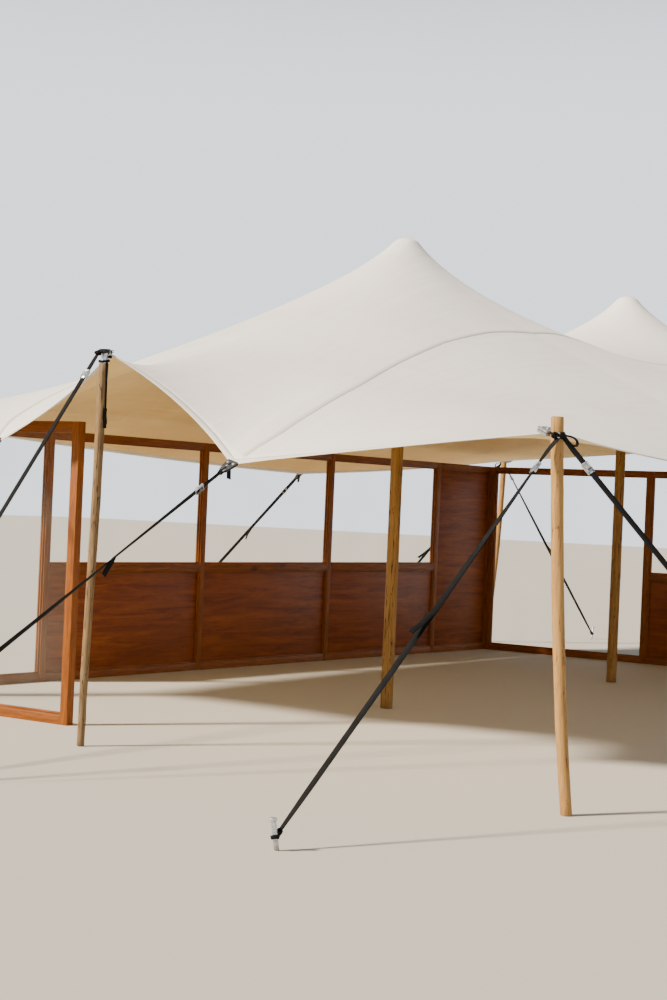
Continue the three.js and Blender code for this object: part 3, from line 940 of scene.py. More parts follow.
@dataclass
class ClothSurface:
    """The middle surface of the canopy, by the same rules as its solid but on a finer grid."""

    tent: Tent
    refine: int = 4
    ease_from_x: float = 2.4
    ease_from_y: float = 0.6
    ease_power: float = 1.5
    ridge_pull: float = 2.0
    saddle_pull: float = 0.8
    peak_pull: float = 0.6
    pull_reach: float = 4.0
    pull_core: float = 0.05
    dome_radius: float = 0.100
    dome_curve: float = 0.160
    most_steps: int = 3000
    settled: float = 1e-14

    def __post_init__(self) -> None:
        """Places the grid lines along X and along Y, close together at a peak."""
        away = [0, 0.05, 0.1, 0.16, 0.24, 0.36, 0.52, 0.72, 1.0]
        peak = self.tent.peak_x
        half = [0, 0.3, 0.6, 0.88, self.tent.seam_y]
        half += [peak - d for d in reversed(away[1:7])] + [peak + d for d in away]
        half += list(np.linspace(peak + away[-1], self.tent.half_length, 9)[1:])
        across = away[:8] + [0.92, self.tent.seam_y, 1.4, 1.7, 2.0, 2.35, 2.7, 3.0, self.tent.half_width]
        self.xs, self.ys = self.mirrored(half), self.mirrored(across)

    def mirrored(self, half: list[float]) -> np.ndarray:
        """Mirrors the lines of one half and divides their steps further.

        Args:
            half: The lines from the middle outwards.

        Returns:
            The lines of both halves.
        """
        coarse = np.array([-v for v in reversed(half[1:])] + half)
        steps = np.arange((len(coarse) - 1) * self.refine + 1) / self.refine
        return np.interp(steps, np.arange(len(coarse)), coarse)

    def edge(self, points: list[Held], s: np.ndarray) -> np.ndarray:
        """Curves one edge through its held points.

        Args:
            points: The edge's held points.
            s: The grid lines.

        Returns:
            Along, out and z at each grid line.
        """
        marks = np.array([p.s for p in points])
        i = np.clip(np.searchsorted(marks, s - 1e-6), 1, len(marks) - 1)
        t = (s - marks[i - 1]) / (marks[i] - marks[i - 1])
        arch = 4 * t * (1 - t)
        values = np.array([(p.s + p.shift, p.out, p.z) for p in points])
        bend = np.array([(0.0, p.bow, p.sag) for p in points])
        mixed = values[i - 1] + (values[i] - values[i - 1]) * t[:, None]
        return mixed - bend[i - 1] * arch[:, None]

    def ease(self, start: float, end: float, v: np.ndarray) -> np.ndarray:
        """Returns 0 up to the start and 1 at the end."""
        return np.clip((v - start) / (end - start), 0, 1) ** self.ease_power

    def solve(self) -> tuple[np.ndarray, np.ndarray]:
        """Finds the surface.

        Returns:
            Its points and its normals, each as columns along X of points along Y.
        """
        xs, ys = self.xs, self.ys
        held = self.tent.held()
        west, east = self.edge(held[Edge.WEST], ys), self.edge(held[Edge.EAST], ys)
        front, back = self.edge(held[Edge.FRONT], xs), self.edge(held[Edge.BACK], xs)
        long, wide = self.tent.half_length, self.tent.half_width
        to_west = self.ease(self.ease_from_x, long, -xs)[:, None]
        to_east = self.ease(self.ease_from_x, long, xs)[:, None]
        to_front = self.ease(self.ease_from_y, wide, -ys)[None, :]
        to_back = self.ease(self.ease_from_y, wide, ys)[None, :]
        px = xs[:, None] - to_west * (west[:, 1] - long) + to_east * (east[:, 1] - long)
        py = ys[None, :] - to_front * (front[:, 1] - wide)[:, None]
        py = py + to_back * (back[:, 1] - wide)[:, None] + to_west * (west[:, 0] - ys)
        z = np.full(px.shape, self.tent.front_corner_z)
        z[0], z[-1] = west[:, 2], east[:, 2]
        z[:, 0], z[:, -1] = front[:, 2], back[:, 2]
        reach = self.to_peak(px, py)
        dome = reach < self.dome_radius + 1e-6
        low = self.tent.peak_height - self.dome_curve
        z[dome] = low + np.sqrt(self.dome_curve**2 - reach[dome] ** 2)
        free = ~dome
        free[[0, -1]] = False
        free[:, [0, -1]] = False
        z = self.balance(px, py, z, free)
        points = np.stack([px, py, z], axis=-1)
        normals = np.cross(np.gradient(points, axis=0), np.gradient(points, axis=1))
        return points, normals / np.linalg.norm(normals, axis=-1, keepdims=True)

    def to_peak(self, x: np.ndarray, y: np.ndarray) -> np.ndarray:
        """Returns how far each point is from the nearer peak, in plan."""
        peak = self.tent.peak_x
        return np.minimum(np.hypot(x - peak, y), np.hypot(x + peak, y))

    def pull(self, px: np.ndarray, py: np.ndarray, a: Cells, b: Cells) -> np.ndarray:
        """Weighs the pull between neighbours, which grows towards a peak.

        Args:
            px: Plan places along X.
            py: Plan places along Y.
            a: The rows and columns of the first neighbours.
            b: The rows and columns of the second ones.

        Returns:
            The weight of each pair.
        """
        r = self.to_peak((px[a] + px[b]) / 2, (py[a] + py[b]) / 2)
        return (self.pull_reach / np.clip(r, self.pull_core, self.pull_reach)) ** self.peak_pull

    def balance(self, px: np.ndarray, py: np.ndarray, z: np.ndarray, free: np.ndarray) -> np.ndarray:
        """Fills in the open heights by conjugate gradients on the pulls between neighbours.

        Args:
            px: Plan places along X.
            py: Plan places along Y.
            z: Heights, right where they are fixed.
            free: Where they are open.

        Returns:
            The heights.
        """
        xs, ys = self.xs, self.ys
        near, far, every = slice(None, -1), slice(1, None), slice(None)
        middle = np.abs(xs[1:] + xs[:-1]) / 2
        ridge = np.where(middle < self.tent.peak_x, self.saddle_pull, self.ridge_pull)
        # The width of cloth that each grid line stands for.
        cloth_x, cloth_y = (
            (np.append(lines[1:], lines[-1]) - np.insert(lines[:-1], 0, lines[0])) / 2 for lines in (xs, ys)
        )
        kx = (ridge / np.diff(xs))[:, None] * cloth_y[None, :]
        kx = kx * self.pull(px, py, (near, every), (far, every))
        ky = cloth_x[:, None] / np.diff(ys)[None, :]
        ky = ky * self.pull(px, py, (every, near), (every, far))

        def force_of(v: np.ndarray) -> np.ndarray:
            """Finds the force that some heights leave on each open point.

            Args:
                v: The heights.

            Returns:
                The forces.
            """
            out = np.zeros_like(v)
            step = kx * (v[:-1] - v[1:])
            out[:-1] += step
            out[1:] -= step
            step = ky * (v[:, :-1] - v[:, 1:])
            out[:, :-1] += step
            out[:, 1:] -= step
            return np.where(free, out, 0.0)

        weight = np.zeros_like(z)
        weight[:-1] += kx
        weight[1:] += kx
        weight[:, :-1] += ky
        weight[:, 1:] += ky
        rest = -force_of(z)
        way = rest / weight
        size = float((rest * way).sum())
        for _ in range(self.most_steps):
            if size < self.settled:
                break
            force = force_of(way)
            length = size / float((way * force).sum())
            z = z + length * way
            rest = rest - length * force
            scaled = rest / weight
            following = float((rest * scaled).sum())
            way = scaled + (following / size) * way
            size = following
        return z


@dataclass
class Canopy:
    """The stretched sheet with its lining side, hem and seams."""

    tent: Tent
    flat: tuple[float, float] = (7.5, 10.5)
    outer_offset: float = -4 * MM
    thick: float = 2 * MM
    hem_width: float = 45 * MM
    hem_proud: float = 2.4 * MM
    seam_width: float = 40 * MM
    seam_proud: float = 2.0 * MM
    seam_sunk: float = 0.4 * MM
    soft: float = 2 * MM
    seam_path: tuple[tuple[float, float], ...] = (
        (0.0, 1.18),
        (1.87, 1.14),
        (2.44, 1.10),
        (3.05, 1.10),
        (3.65, 1.155),
        (4.25, 1.23),
        (4.75, 1.255),
        (5.10, 1.25),
        (5.37, 1.17),
    )
    fold_height: float = 7 * MM
    fold_count: int = 13
    fold_reach: float = 0.55
    fold_from: float = 0.25
    fold_turn: float = 1.7

    def __post_init__(self) -> None:
        """Finds the weather side's points and its normals, as columns along X of points along Y."""
        points, self.normals = ClothSurface(self.tent).solve()
        self.outer = points + self.normals * (self.outer_offset + self.folds(points))[..., None]

    def make(self) -> None:
        self.sheet()
        self.hem()
        self.seams()

    def folds(self, points: np.ndarray) -> np.ndarray:
        """Raises fans of shallow folds where the cloth runs in to a held point.

        Args:
            points: The surface's points.

        Returns:
            How far each point is raised along its normal.
        """
        raised = np.zeros(points.shape[:2])
        tips = {(round(p.x, 3), round(p.y, 3)) for edge in Edge for p in self.tent.tips(edge)}
        for number, (x, y) in enumerate(sorted(tips)):
            dx, dy = points[..., 0] - x, points[..., 1] - y
            r = np.hypot(dx, dy)
            wave = 0.5 + 0.5 * np.cos(self.fold_count * np.arctan2(dy, dx) + self.fold_turn * number)
            fade = np.clip(r / self.fold_from, 0, 1) * np.exp(-r / self.fold_reach)
            raised = np.maximum(raised, self.fold_height * wave * fade)
        return raised

    def sheet(self) -> bpy.types.Object:
        """Builds the cloth itself.

        Returns:
            The object, whose Solidify gives it the lining side.
        """
        outer = self.outer
        nx, ny = outer.shape[0] - 1, outer.shape[1] - 1
        part = bmesh.new()
        cloth = part.loops.layers.uv.new(CLOTH_UV)
        bmesh.ops.create_grid(part, x_segments=nx, y_segments=ny, size=1.0)
        cells = {v: (round((v.co.x + 1) / 2 * nx), round((v.co.y + 1) / 2 * ny)) for v in part.verts}
        lengths, widths = (
            np.insert(np.linalg.norm(np.diff(line, axis=0), axis=-1).cumsum(), 0, 0)
            for line in (outer[:, ny // 2], outer[nx // 2])
        )
        for v, cell in cells.items():
            v.co = outer[cell]
        for face in part.faces:
            for corner in face.loops:
                i, j = cells[corner.vert]
                corner[cloth].uv = (lengths[i], widths[j])
        bmesh.ops.recalc_face_normals(part, faces=part.faces)
        if part.faces[:][len(part.faces) // 2].normal.z < 0:
            bmesh.ops.reverse_faces(part, faces=part.faces)
        piece = Piece("canopy_sheet")
        piece.take(part, OUTER_CLOTH)
        piece.finishes.append(LINING)
        made = piece.done("canopy_fabric", "canopy", sharp=80)
        shell = made.modifiers.new("lining", "SOLIDIFY")
        shell.thickness = self.thick
        shell.offset = -1
        shell.use_rim = True
        shell.material_offset = 1
        return made

    def hem(self) -> bpy.types.Object:
        """Builds the folded band round the whole edge.

        Returns:
            The band's object.
        """
        outer = self.outer
        nx, ny = outer.shape[0] - 1, outer.shape[1] - 1
        walk = [(i, 0) for i in range(1, nx + 1)] + [(nx, j) for j in range(1, ny + 1)]
        walk += [(i, ny) for i in range(nx - 1, -1, -1)] + [(0, j) for j in range(ny - 1, -1, -1)]
        over, under, soft = self.hem_proud, -self.thick - self.hem_proud, self.soft
        rings = []
        for i, j in walk:
            start = Vector(outer[i, j])
            inner = Vector(outer[min(max(i, 1), nx - 1), min(max(j, 1), ny - 1)])
            inwards = (inner - start).normalized()
            deep = self.hem_width * (math.sqrt(2) if i in (0, nx) and j in (0, ny) else 1.0)
            stations = [(deep, over * 0.2), (deep - soft, over), (deep / 2, over * 1.5), (soft, over)]
            stations += [(-soft, (over + under) / 2), (soft, under), (deep / 2, under * 1.15)]
            stations += [(deep - soft, under), (deep, under * 0.8)]
            normal = Vector(self.normals[i, j])
            rings.append([start + inwards * a + normal * b for a, b in stations])
        piece = Piece("canopy_hem")
        piece.take(loft(rings, closed=True), HEM_BAND)
        return piece.done("canopy_fabric", sharp=60)

    def seams(self) -> bpy.types.Object:
        """Builds the two long seams, where the three lengths of cloth are joined.

        Returns:
            The seams' object.
        """
        piece = Piece("canopy_seams")
        half = self.seam_width / 2
        flat = half - self.soft
        for side in (-1, 1):
            for level, skin in ((0.0, 1), (-self.thick, -1)):
                low, high = level - skin * self.seam_sunk, level + skin * self.seam_proud
                stations = ((-half, low), (-flat, high), (0, high), (flat, high), (half, low), (0, low))
                rings = []
                for line, facing in zip(self.outer, self.normals):
                    row, share = self.seam_row(line, side)
                    before, after = Vector(line[row]), Vector(line[row + 1])
                    middle, back = before.lerp(after, share), (after - before).normalized()
                    rings.append([middle + back * a + Vector(facing[row]) * b for a, b in stations])
                piece.take(loft(rings), SEAM_BAND if skin > 0 else LINING_SEAM)
        return piece.done("canopy_fabric", sharp=60)

    def seam_row(self, line: np.ndarray, side: int) -> tuple[int, float]:
        """Finds where a seam crosses one line of the cloth.

        Args:
            line: The line's points, from front to back.
            side: -1 for the front seam, 1 for the back one.

        Returns:
            The point before the crossing, and the share of the way to the next one.
        """
        away, out = zip(*self.seam_path)
        target = side * float(np.interp(abs(line[len(line) // 2, 0]), away, out))
        row = int(np.clip(np.searchsorted(line[:, 1], target) - 1, 0, len(line) - 2))
        share = (target - line[row, 1]) / (line[row + 1, 1] - line[row, 1])
        return row, float(np.clip(share, 0.0, 1.0))


@dataclass
class RoundPole:
    """A round timber pole from the ground to its top, sheared so that its foot stays flat."""

    name: str
    base: Vector
    top: Vector
    foot: float
    head: float
    finish: Finish
    slot: str
    uneven: float = 0.045
    wander: float = 5 * MM
    sides: int = 22
    step: float = 0.055
    knots: int = 7
    knot_lift: float = 3.5 * MM
    knot_wide: float = 20 * MM
    knot_tall: float = 30 * MM
    straight_end: float = 0.3
    bow: tuple[float, float] = (0.0, 0.0)
    neck: float = 0.0
    soft: float = 5 * MM
    foot_cut: float = 4 * MM

    def __post_init__(self) -> None:
        """Works out the number that the pole's bends and knots follow from its name."""
        self.seed = sum(map(ord, self.name)) * 0.37

    def axis(self, z: float) -> Vector:
        """Returns the point of the axis at a height."""
        p = self.base.lerp(self.top, z / self.top.z)
        return Vector((p.x, p.y, z))

    def radius(self, z: float) -> float:
        """Returns the pole's mean radius at a height."""
        return self.foot + (self.head - self.foot) * z / self.top.z

    def ring(self, z: float, scale: float = 1.0, shrink: float = 0.0) -> list[Vector]:
        """Draws the pole's outline at a height.

        Args:
            z: The height.
            scale: A share of the radius.
            shrink: A length taken off the radius.

        Returns:
            The outline's points.
        """
        seed = self.seed
        middle = self.axis(z)
        free = min(1.0, z / self.straight_end, (self.top.z - z) / self.straight_end)
        for i in (0, 1):
            middle[i] += self.wander * free * noise.noise(Vector((seed + 5 * i, z * 0.9, 1.3)))
            middle[i] += self.bow[i] * math.sin(math.pi * z / self.top.z)
        points = []
        for k in range(self.sides):
            angle = math.tau * k / self.sides
            way = Vector((math.cos(angle), math.sin(angle), 0))
            rough = noise.noise(Vector((way.x * 0.9 + seed, way.y * 0.9, z * 1.6)))
            fine = noise.noise(Vector((way.x * 2.6, way.y * 2.6 + seed, z * 7.0)))
            r = self.radius(z) * (1 + self.uneven * rough + 0.3 * self.uneven * fine)
            points.append(middle + way * ((r + self.knot_bump(angle, z)) * scale - shrink))
        return points

    def knot_bump(self, angle: float, z: float) -> float:
        """Finds how far the cut branches lift the surface.

        Args:
            angle: The angle round the pole.
            z: The height.

        Returns:
            The lift.
        """
        lift = 0.0
        for k in range(self.knots):
            up = z - (k + 0.6) * self.top.z / self.knots
            around = math.remainder(angle - self.seed - 2.4 * k, math.tau) * self.radius(z)
            lift += self.knot_lift * math.exp(-((around / self.knot_wide) ** 2) - (up / self.knot_tall) ** 2)
        return lift

    def make(self, node: str) -> None:
        """Builds the pole.

        Args:
            node: The solid that it stands for.
        """
        top, cut, soft = self.top.z - self.neck, self.foot_cut, self.soft
        count = max(8, round(top / self.step))
        rings = [self.ring(0.0, shrink=cut)] + [self.ring(max(top * i / count, cut)) for i in range(count)]
        rings += [self.ring(top - soft), self.ring(top, shrink=soft), self.ring(top, scale=0.45)]
        piece = Piece(self.name)
        piece.take(loft(rings), self.finish)
        piece.done(self.slot, node, sharp=50)


@dataclass
class CentrePole:
    """A straight centre pole with its domed cap under the cloth. Its profiles are in millimetres."""

    side: str
    x: float
    radius: float = 46.5 * MM
    taper: float = 0.5 * MM
    top: float = 3.5214
    cap_top: float = 3.6117
    cap_profile: tuple[tuple[float, float], ...] = (
        *((0, -90), (56, -90), (60, -88), (66, -90), (70, -90), (88, -80), (92, -74), (92.5, -64)),
        *((91, -56), (84, -47), (70, -35), (54, -21), (38, -12), (20, -5), (0, 0)),
    )
    ribs: int = 12
    rib: tuple[float, float, float] = (24 * MM, 4 * MM, 30 * MM)
    bolts: int = 3

    def make(self) -> None:
        """Builds the pole, its cap and its ferrule."""
        RoundPole(
            f"timber_centre_{self.side}",
            Vector((self.x, 0, 0)),
            Vector((self.x, 0, self.top)),
            self.radius + self.taper,
            self.radius - self.taper,
            CENTRE_WOOD,
            "centre_pole_timber",
            uneven=0.02,
            wander=2 * MM,
            sides=32,
            knots=9,
        ).make(f"centre_pole_{self.side}")
        self.cap()
        self.collar()

    def cap(self) -> None:
        """Builds the moulded dome that spreads the load on the cloth."""
        piece = Piece(f"peak_dome_{self.side}")
        place = moved(self.x, 0, self.cap_top)
        piece.take(turned(self.cap_profile, 40), CAP_RUBBER, place)
        for k in range(self.ribs):
            spoke = place @ spun(math.tau * k / self.ribs, "Z") @ moved(80 * MM, 0, -69 * MM)
            piece.take(block(self.rib, 1 * MM), CAP_RUBBER, spoke)
        piece.done("black_cap", f"peak_cap_{self.side}")

    def collar(self) -> None:
        """Builds the steel ferrule round the pole's head."""
        piece = Piece(f"pole_ferrule_{self.side}")
        inner, outer = self.radius / MM - 6, self.radius / MM + 4
        profile = [(inner, -70), (outer, -70), (outer + 1, -67), (outer, -64)]
        profile += [(outer, -6), (outer + 1, -3), (outer, 0), (inner, 0), (inner, -70)]
        piece.take(turned(profile, 32), ZINC, moved(self.x, 0, self.top - 1 * MM))
        for k in range(self.bolts):
            place = moved(self.x, 0, self.top - 36 * MM) @ spun(math.tau * k / self.bolts, "Z")
            place = place @ moved((outer + 1) * MM, 0, 0) @ spun(math.pi / 2, "Y")
            piece.take(rod(6 * MM, 5 * MM, 1 * MM, 6), ZINC, place)
        piece.done("zinc_steel")


@dataclass
class Stake:
    """A ground stake that leans away from the tent: a ribbed bar with a forged head."""

    name: str
    place: Vector
    lean: Vector
    radius: float = 12 * MM
    height: float = 150 * MM
    ribs: int = 9
    rib_pitch: float = 13 * MM

    def at(self, z: float) -> Vector:
        """Returns the point of its axis at a height."""
        return self.place + self.lean * z + UP * z

    def make(self) -> None:
        """Builds the stake."""
        r, h = self.radius / MM, self.height / MM
        profile = [(0, 0), (r * 0.9, 0), (r, 2)]
        for k in range(self.ribs):
            z = 8 + k * self.rib_pitch / MM
            profile += [(r, z), (r + 0.6, z + 1.5), (r + 0.6, z + 3), (r, z + 4.5)]
        profile += [(r, h - 17), (r + 1.5, h - 15), (18, h - 13), (18.5, h - 10)]
        profile += [(18.5, h - 4), (17, h - 1), (12, h), (0, h + 0.5)]
        shear = Matrix.Translation(self.place)
        shear[0][2], shear[1][2] = self.lean.xy
        piece = Piece(f"steel_{self.name}")
        piece.take(turned(profile, 20), ZINC_GROUND, shear)
        piece.done("zinc_steel", self.name)


@dataclass
class Ratchet:
    """A ratchet buckle: frame, spool with wound webbing, two toothed wheels and a handle."""

    length: float = 72 * MM
    width: float = 41 * MM
    height: float = 27 * MM
    sheet: float = 2.2 * MM
    soft: float = 0.7 * MM
    teeth: int = 12
    tooth_depth: float = 0.8
    pins: tuple[float, float, float] = (4.5 * MM, 4 * MM, 3 * MM)
    handle_slope: float = math.radians(-7)
    pawl_slope: float = 0.35

    def add(self, piece: Piece, place: Matrix) -> None:
        """Adds the buckle to a strap, along its X.

        Args:
            piece: The strap's piece.
            place: The buckle's middle on the strap.
        """
        across = spun(math.pi / 2, "X")
        long, wide, high, soft = self.length, self.width, self.height, self.soft
        spool = place @ moved(0.12 * long, 0, 0.13 * high)
        handle = place @ moved(-0.1 * long, 0, 0.34 * high) @ spun(self.handle_slope, "Y")
        for side in (-1, 1):
            cheek = place @ moved(0, side * (wide / 2 - 3 * MM), -1 * MM)
            piece.take(block((long * 0.9, self.sheet, high * 0.64), soft), ZINC, cheek)
            piece.take(self.wheel(), ZINC, spool @ moved(0, side * (wide / 2 - 6 * MM), 0) @ across)
            arm = handle @ moved(0.03 * long, side * 0.33 * wide, -0.1 * high)
            piece.take(block((0.78 * long, self.sheet, 0.36 * high), soft), ZINC, arm)
        piece.take(rod(0.34 * high, wide - 15 * MM, 1.5 * MM, 20), STRAP_WEB, spool @ across)
        ends = [place @ moved(x * long, 0, 0) for x in (-0.4, 0.4)]
        for pin, radius in zip((spool, *ends), self.pins):
            piece.take(rod(radius, wide, 0.8 * MM, 12), ZINC, pin @ across)
        piece.take(block((0.66 * long, 0.62 * wide, 2 * MM), soft), ZINC, handle)
        piece.take(rod(5 * MM, 0.78 * wide, 1.5 * MM, 14), ZINC, handle @ moved(-0.35 * long, 0, 0) @ across)
        pawl = place @ moved(0.33 * long, 0, 0.21 * high) @ spun(self.pawl_slope, "Y")
        piece.take(block((0.22 * long, 0.5 * wide, 2 * MM), soft), ZINC, pawl)

    def wheel(self) -> bmesh.types.BMesh:
        """Makes one toothed wheel, flat about the origin.

        Returns:
            The mesh.
        """
        part = rod(0.36 * self.height, 2.5 * MM, 0.4 * MM, self.teeth * 2)
        for v in part.verts:
            if round(math.atan2(v.co.y, v.co.x) / math.tau * self.teeth * 2) % 2:
                v.co.xy *= self.tooth_depth
        return part


@dataclass
class ClampPlates:
    """Two tapered plates bolted together over the edge of the cloth, with a ring for the strap."""

    wide: float = 84 * MM
    narrow: float = 46 * MM
    length: float = 100 * MM
    gap: float = 6 * MM
    sheet: float = 4.5 * MM
    finish: Finish = PLATE_STEEL
    taper_from: float = 0.3
    corner: float = 9 * MM
    bolts: tuple[tuple[float, float], ...] = ((0.24, -0.27), (0.24, 0.27), (0.52, 0.0))
    ring_at: float = 0.92

    def plate(self) -> bmesh.types.BMesh:
        """Makes one plate, its wide end at X 0 and its narrow end outwards.

        Returns:
            The mesh.
        """
        part = bmesh.new()
        left = [(0, self.wide), (self.length * self.taper_from, self.wide), (self.length, self.narrow)]
        outline = [(x, -w / 2) for x, w in left] + [(x, w / 2) for x, w in reversed(left)]
        face = part.faces.new([part.verts.new((x, y, 0)) for x, y in outline])
        made = bmesh.ops.extrude_face_region(part, geom=[face])["geom"]
        lifted = [g for g in made if isinstance(g, bmesh.types.BMVert)]
        bmesh.ops.translate(part, vec=(0, 0, self.sheet), verts=lifted)
        bmesh.ops.recalc_face_normals(part, faces=part.faces)
        for upright, width, segments in ((True, self.corner, 3), (False, 1 * MM, 1)):
            tall = {e: abs(e.verts[0].co.z - e.verts[1].co.z) > self.sheet / 2 for e in part.edges}
            bevel(part, [e for e, is_tall in tall.items() if is_tall == upright], width, segments)
        return part

    def add(self, piece: Piece, place: Matrix, ring: bool = True) -> None:
        """Adds the plates with their bolts.

        Args:
            piece: The piece that carries them.
            place: The wide end's middle, X outwards.
            ring: Whether a strap ring goes through the narrow end.
        """
        for z in (self.gap / 2, -self.gap / 2 - self.sheet):
            piece.take(self.plate(), self.finish, place @ moved(0, 0, z))
        tongue = block((0.66 * self.length, 0.6 * self.wide, self.gap + 1 * MM), 1 * MM)
        piece.take(tongue, STRAP_WEB, place @ moved(0.62 * self.length, 0, 0))
        top = self.gap / 2 + self.sheet
        for x, y in self.bolts:
            bolt = place @ moved(x * self.length, y * self.wide, 0)
            piece.take(rod(9 * MM, 1.6 * MM, 0.3 * MM, 18), ZINC, bolt @ moved(0, 0, top + 0.8 * MM))
            piece.take(rod(6 * MM, 2 * top + 9 * MM, 1 * MM, 6), ZINC, bolt)
        if ring:
            wire = (6 * MM, 6 * MM)
            made = hoop(X * self.length * self.ring_at, X * 13 * MM, Y * 19 * MM, UP, wire, 24)
            piece.take(made, ZINC, place @ spun(0.5, "X"))


@dataclass
class Strap:
    """A taut strap from a pole's head or a clamp to a stake, with its buckle, its loose tail and its loop."""

    name: str
    start: Vector
    end: Vector
    stake: Stake
    buckle_at: float
    pole: RoundPole | None = None
    clamp: Matrix | None = None
    lead: Vector | None = None
    rolls: tuple[float, float, float, float] = (0.0, 0.0, 0.1, 0.2)
    tail_roll: float = 0.3
    tail_share: float = 0.55
    tail_length: float = 0.19
    tail_slope: float = 0.22
    width: float = 31 * MM
    thick: float = 2.6 * MM
    loop_width: float = 17 * MM
    taper: float = 0.30
    lead_length: float = 0.12
    stake_knot: Vector = Vector((17, 13, 12)) * MM
    clamp_knot: Vector = Vector((22, 17, 9)) * MM
    clamp_knot_at: float = 108 * MM
    hang_step: float = 12 * MM
    hang_width: float = 20 * MM

    def __post_init__(self) -> None:
        """Sets out the strap's frame and starts its piece."""
        self.piece = Piece(f"webbing_{self.name}")
        self.place = laid_along(self.start, self.end)
        self.length = (self.end - self.start).length

    def make(self) -> None:
        """Builds the strap in place of its solid."""
        self.band()
        Ratchet().add(self.piece, self.place @ moved(self.buckle_at, 0, 0) @ spun(self.rolls[1], "X"))
        self.tail()
        self.loop()
        if self.clamp is not None:
            ClampPlates().add(self.piece, self.clamp, ring=self.pole is None)
            self.knot(self.clamp @ moved(self.clamp_knot_at, 0, 0), self.clamp_knot)
            self.spare()
        self.piece.done("webbing", f"strap_{self.name}")

    def spare(self) -> None:
        """Adds the short spare end that hangs from the clamp."""
        turn = self.clamp.to_3x3()
        start = self.clamp @ (Vector((44, 0, -6)) * MM)
        path = [start + UP * -0.011 * k + turn @ Vector((0.001, 0.0015, 0)) * k for k in range(7)]
        self.piece.take(ribbon(path, turn @ Y, 34 * MM, 5 * MM), STRAP_WEB)

    def roll(self, x: float) -> float:
        """Returns how far the strap's flat side is turned at a distance from its start, in radians."""
        marks = (0.0, self.buckle_at, self.length * self.tail_share, self.length)
        return float(np.interp(x, marks, self.rolls))

    def across(self, roll: float) -> Vector:
        """Returns the direction across the webbing at a roll, in the strap's frame."""
        return Vector((0, math.cos(roll), math.sin(roll)))

    def band(self) -> None:
        """Adds the two runs of webbing, above and below the buckle."""
        lead = Vector() if self.lead is None else self.place.inverted() @ self.lead
        runs = ((0.0, self.buckle_at - 20 * MM), (self.buckle_at - 4 * MM, self.length - 22 * MM))
        for begin, end in runs:
            count = max(4, round((end - begin) / 0.06))
            path, sides, widths, thick = [], [], [], []
            for k in range(count + 1):
                x = begin + (end - begin) * k / count
                gather = max(0.0, (x - self.length + self.taper) / self.taper)
                head = max(0.0, 1 - x / self.lead_length)
                narrowed = (self.loop_width - self.width) * gather**1.3
                path.append(X * x + lead * head)
                sides.append(self.across(self.roll(x)))
                widths.append(self.width + narrowed - head * 0.25 * self.width)
                thick.append(self.thick * (1 + 1.4 * gather + head))
            self.piece.take(ribbon(path, sides, widths, thick), STRAP_WEB, self.place)

    def tail(self) -> None:
        """Adds the doubled loose end, lying on the strap and then standing off it."""
        begin, leave = self.buckle_at + 30 * MM, self.length * self.tail_share
        count = max(2, round((leave - begin) / 0.12))
        spots = [begin + (leave - begin) * k / count for k in range(count + 1)]
        sides = [self.across(self.roll(x)) for x in spots]
        path = [X * x + X.cross(side) * self.thick * 1.1 for x, side in zip(spots, sides)]
        last, lying, run = path[-1], sides[-1], self.tail_length
        for k in range(1, 9):
            t = k / 8
            rise = run * self.tail_slope * (t - 0.3 * math.sin(math.pi * t) / math.pi)
            path.append(last + Vector((run * t, 0, rise)))
            sides.append(lying.lerp(self.across(self.tail_roll), min(1.0, 2 * t)))
        self.piece.take(ribbon(path, sides, self.width * 0.94, self.thick), STRAP_WEB, self.place)

    def loop(self) -> None:
        """Adds the gathered loop round the stake, its knot and the short end that hangs from it."""
        around = self.stake.radius + 5 * MM
        middle, phase = self.stake.at(self.end.z), self.end.z * 60
        right = X * around + UP * 4 * MM * math.sin(phase)
        up = Y * around + UP * 4 * MM * math.cos(phase)
        band = hoop(middle, right, up, UP, (18 * MM, 7 * MM), 20, (X * 0.25, Y * 0.25))
        self.piece.take(band, STRAP_WEB)
        knot = self.place @ moved(self.length - 30 * MM, 0, 0)
        self.knot(knot, self.stake_knot)
        step = self.stake.lean.normalized() * 4 * MM - UP * self.hang_step
        drop = [p for p in (knot.translation + step * k for k in range(5)) if p.z > 6 * MM]
        if len(drop) > 2:
            taper = [self.hang_width * (1 - 0.12 * k) for k in range(len(drop))]
            self.piece.take(ribbon(drop, self.place.to_3x3() @ Y, taper, 4 * MM), STRAP_WEB)

    def knot(self, place: Matrix, size: Vector) -> None:
        """Adds a lump of crossed webbing.

        Args:
            place: The lump's middle.
            size: Its three half sizes.
        """
        band = (size.y * 1.1, size.z * 0.45)
        for k, (turn, scale) in enumerate(((0.5, 1.0), (-0.6, 0.92), (1.4, 0.8))):
            made = hoop(Vector(), X * size.x * scale, UP * size.z, Y, band, leans=(X * 0.2, Vector()))
            self.piece.take(made, STRAP_WEB, place @ spun(turn, "Z") @ spun(0.3 * k, "X"))


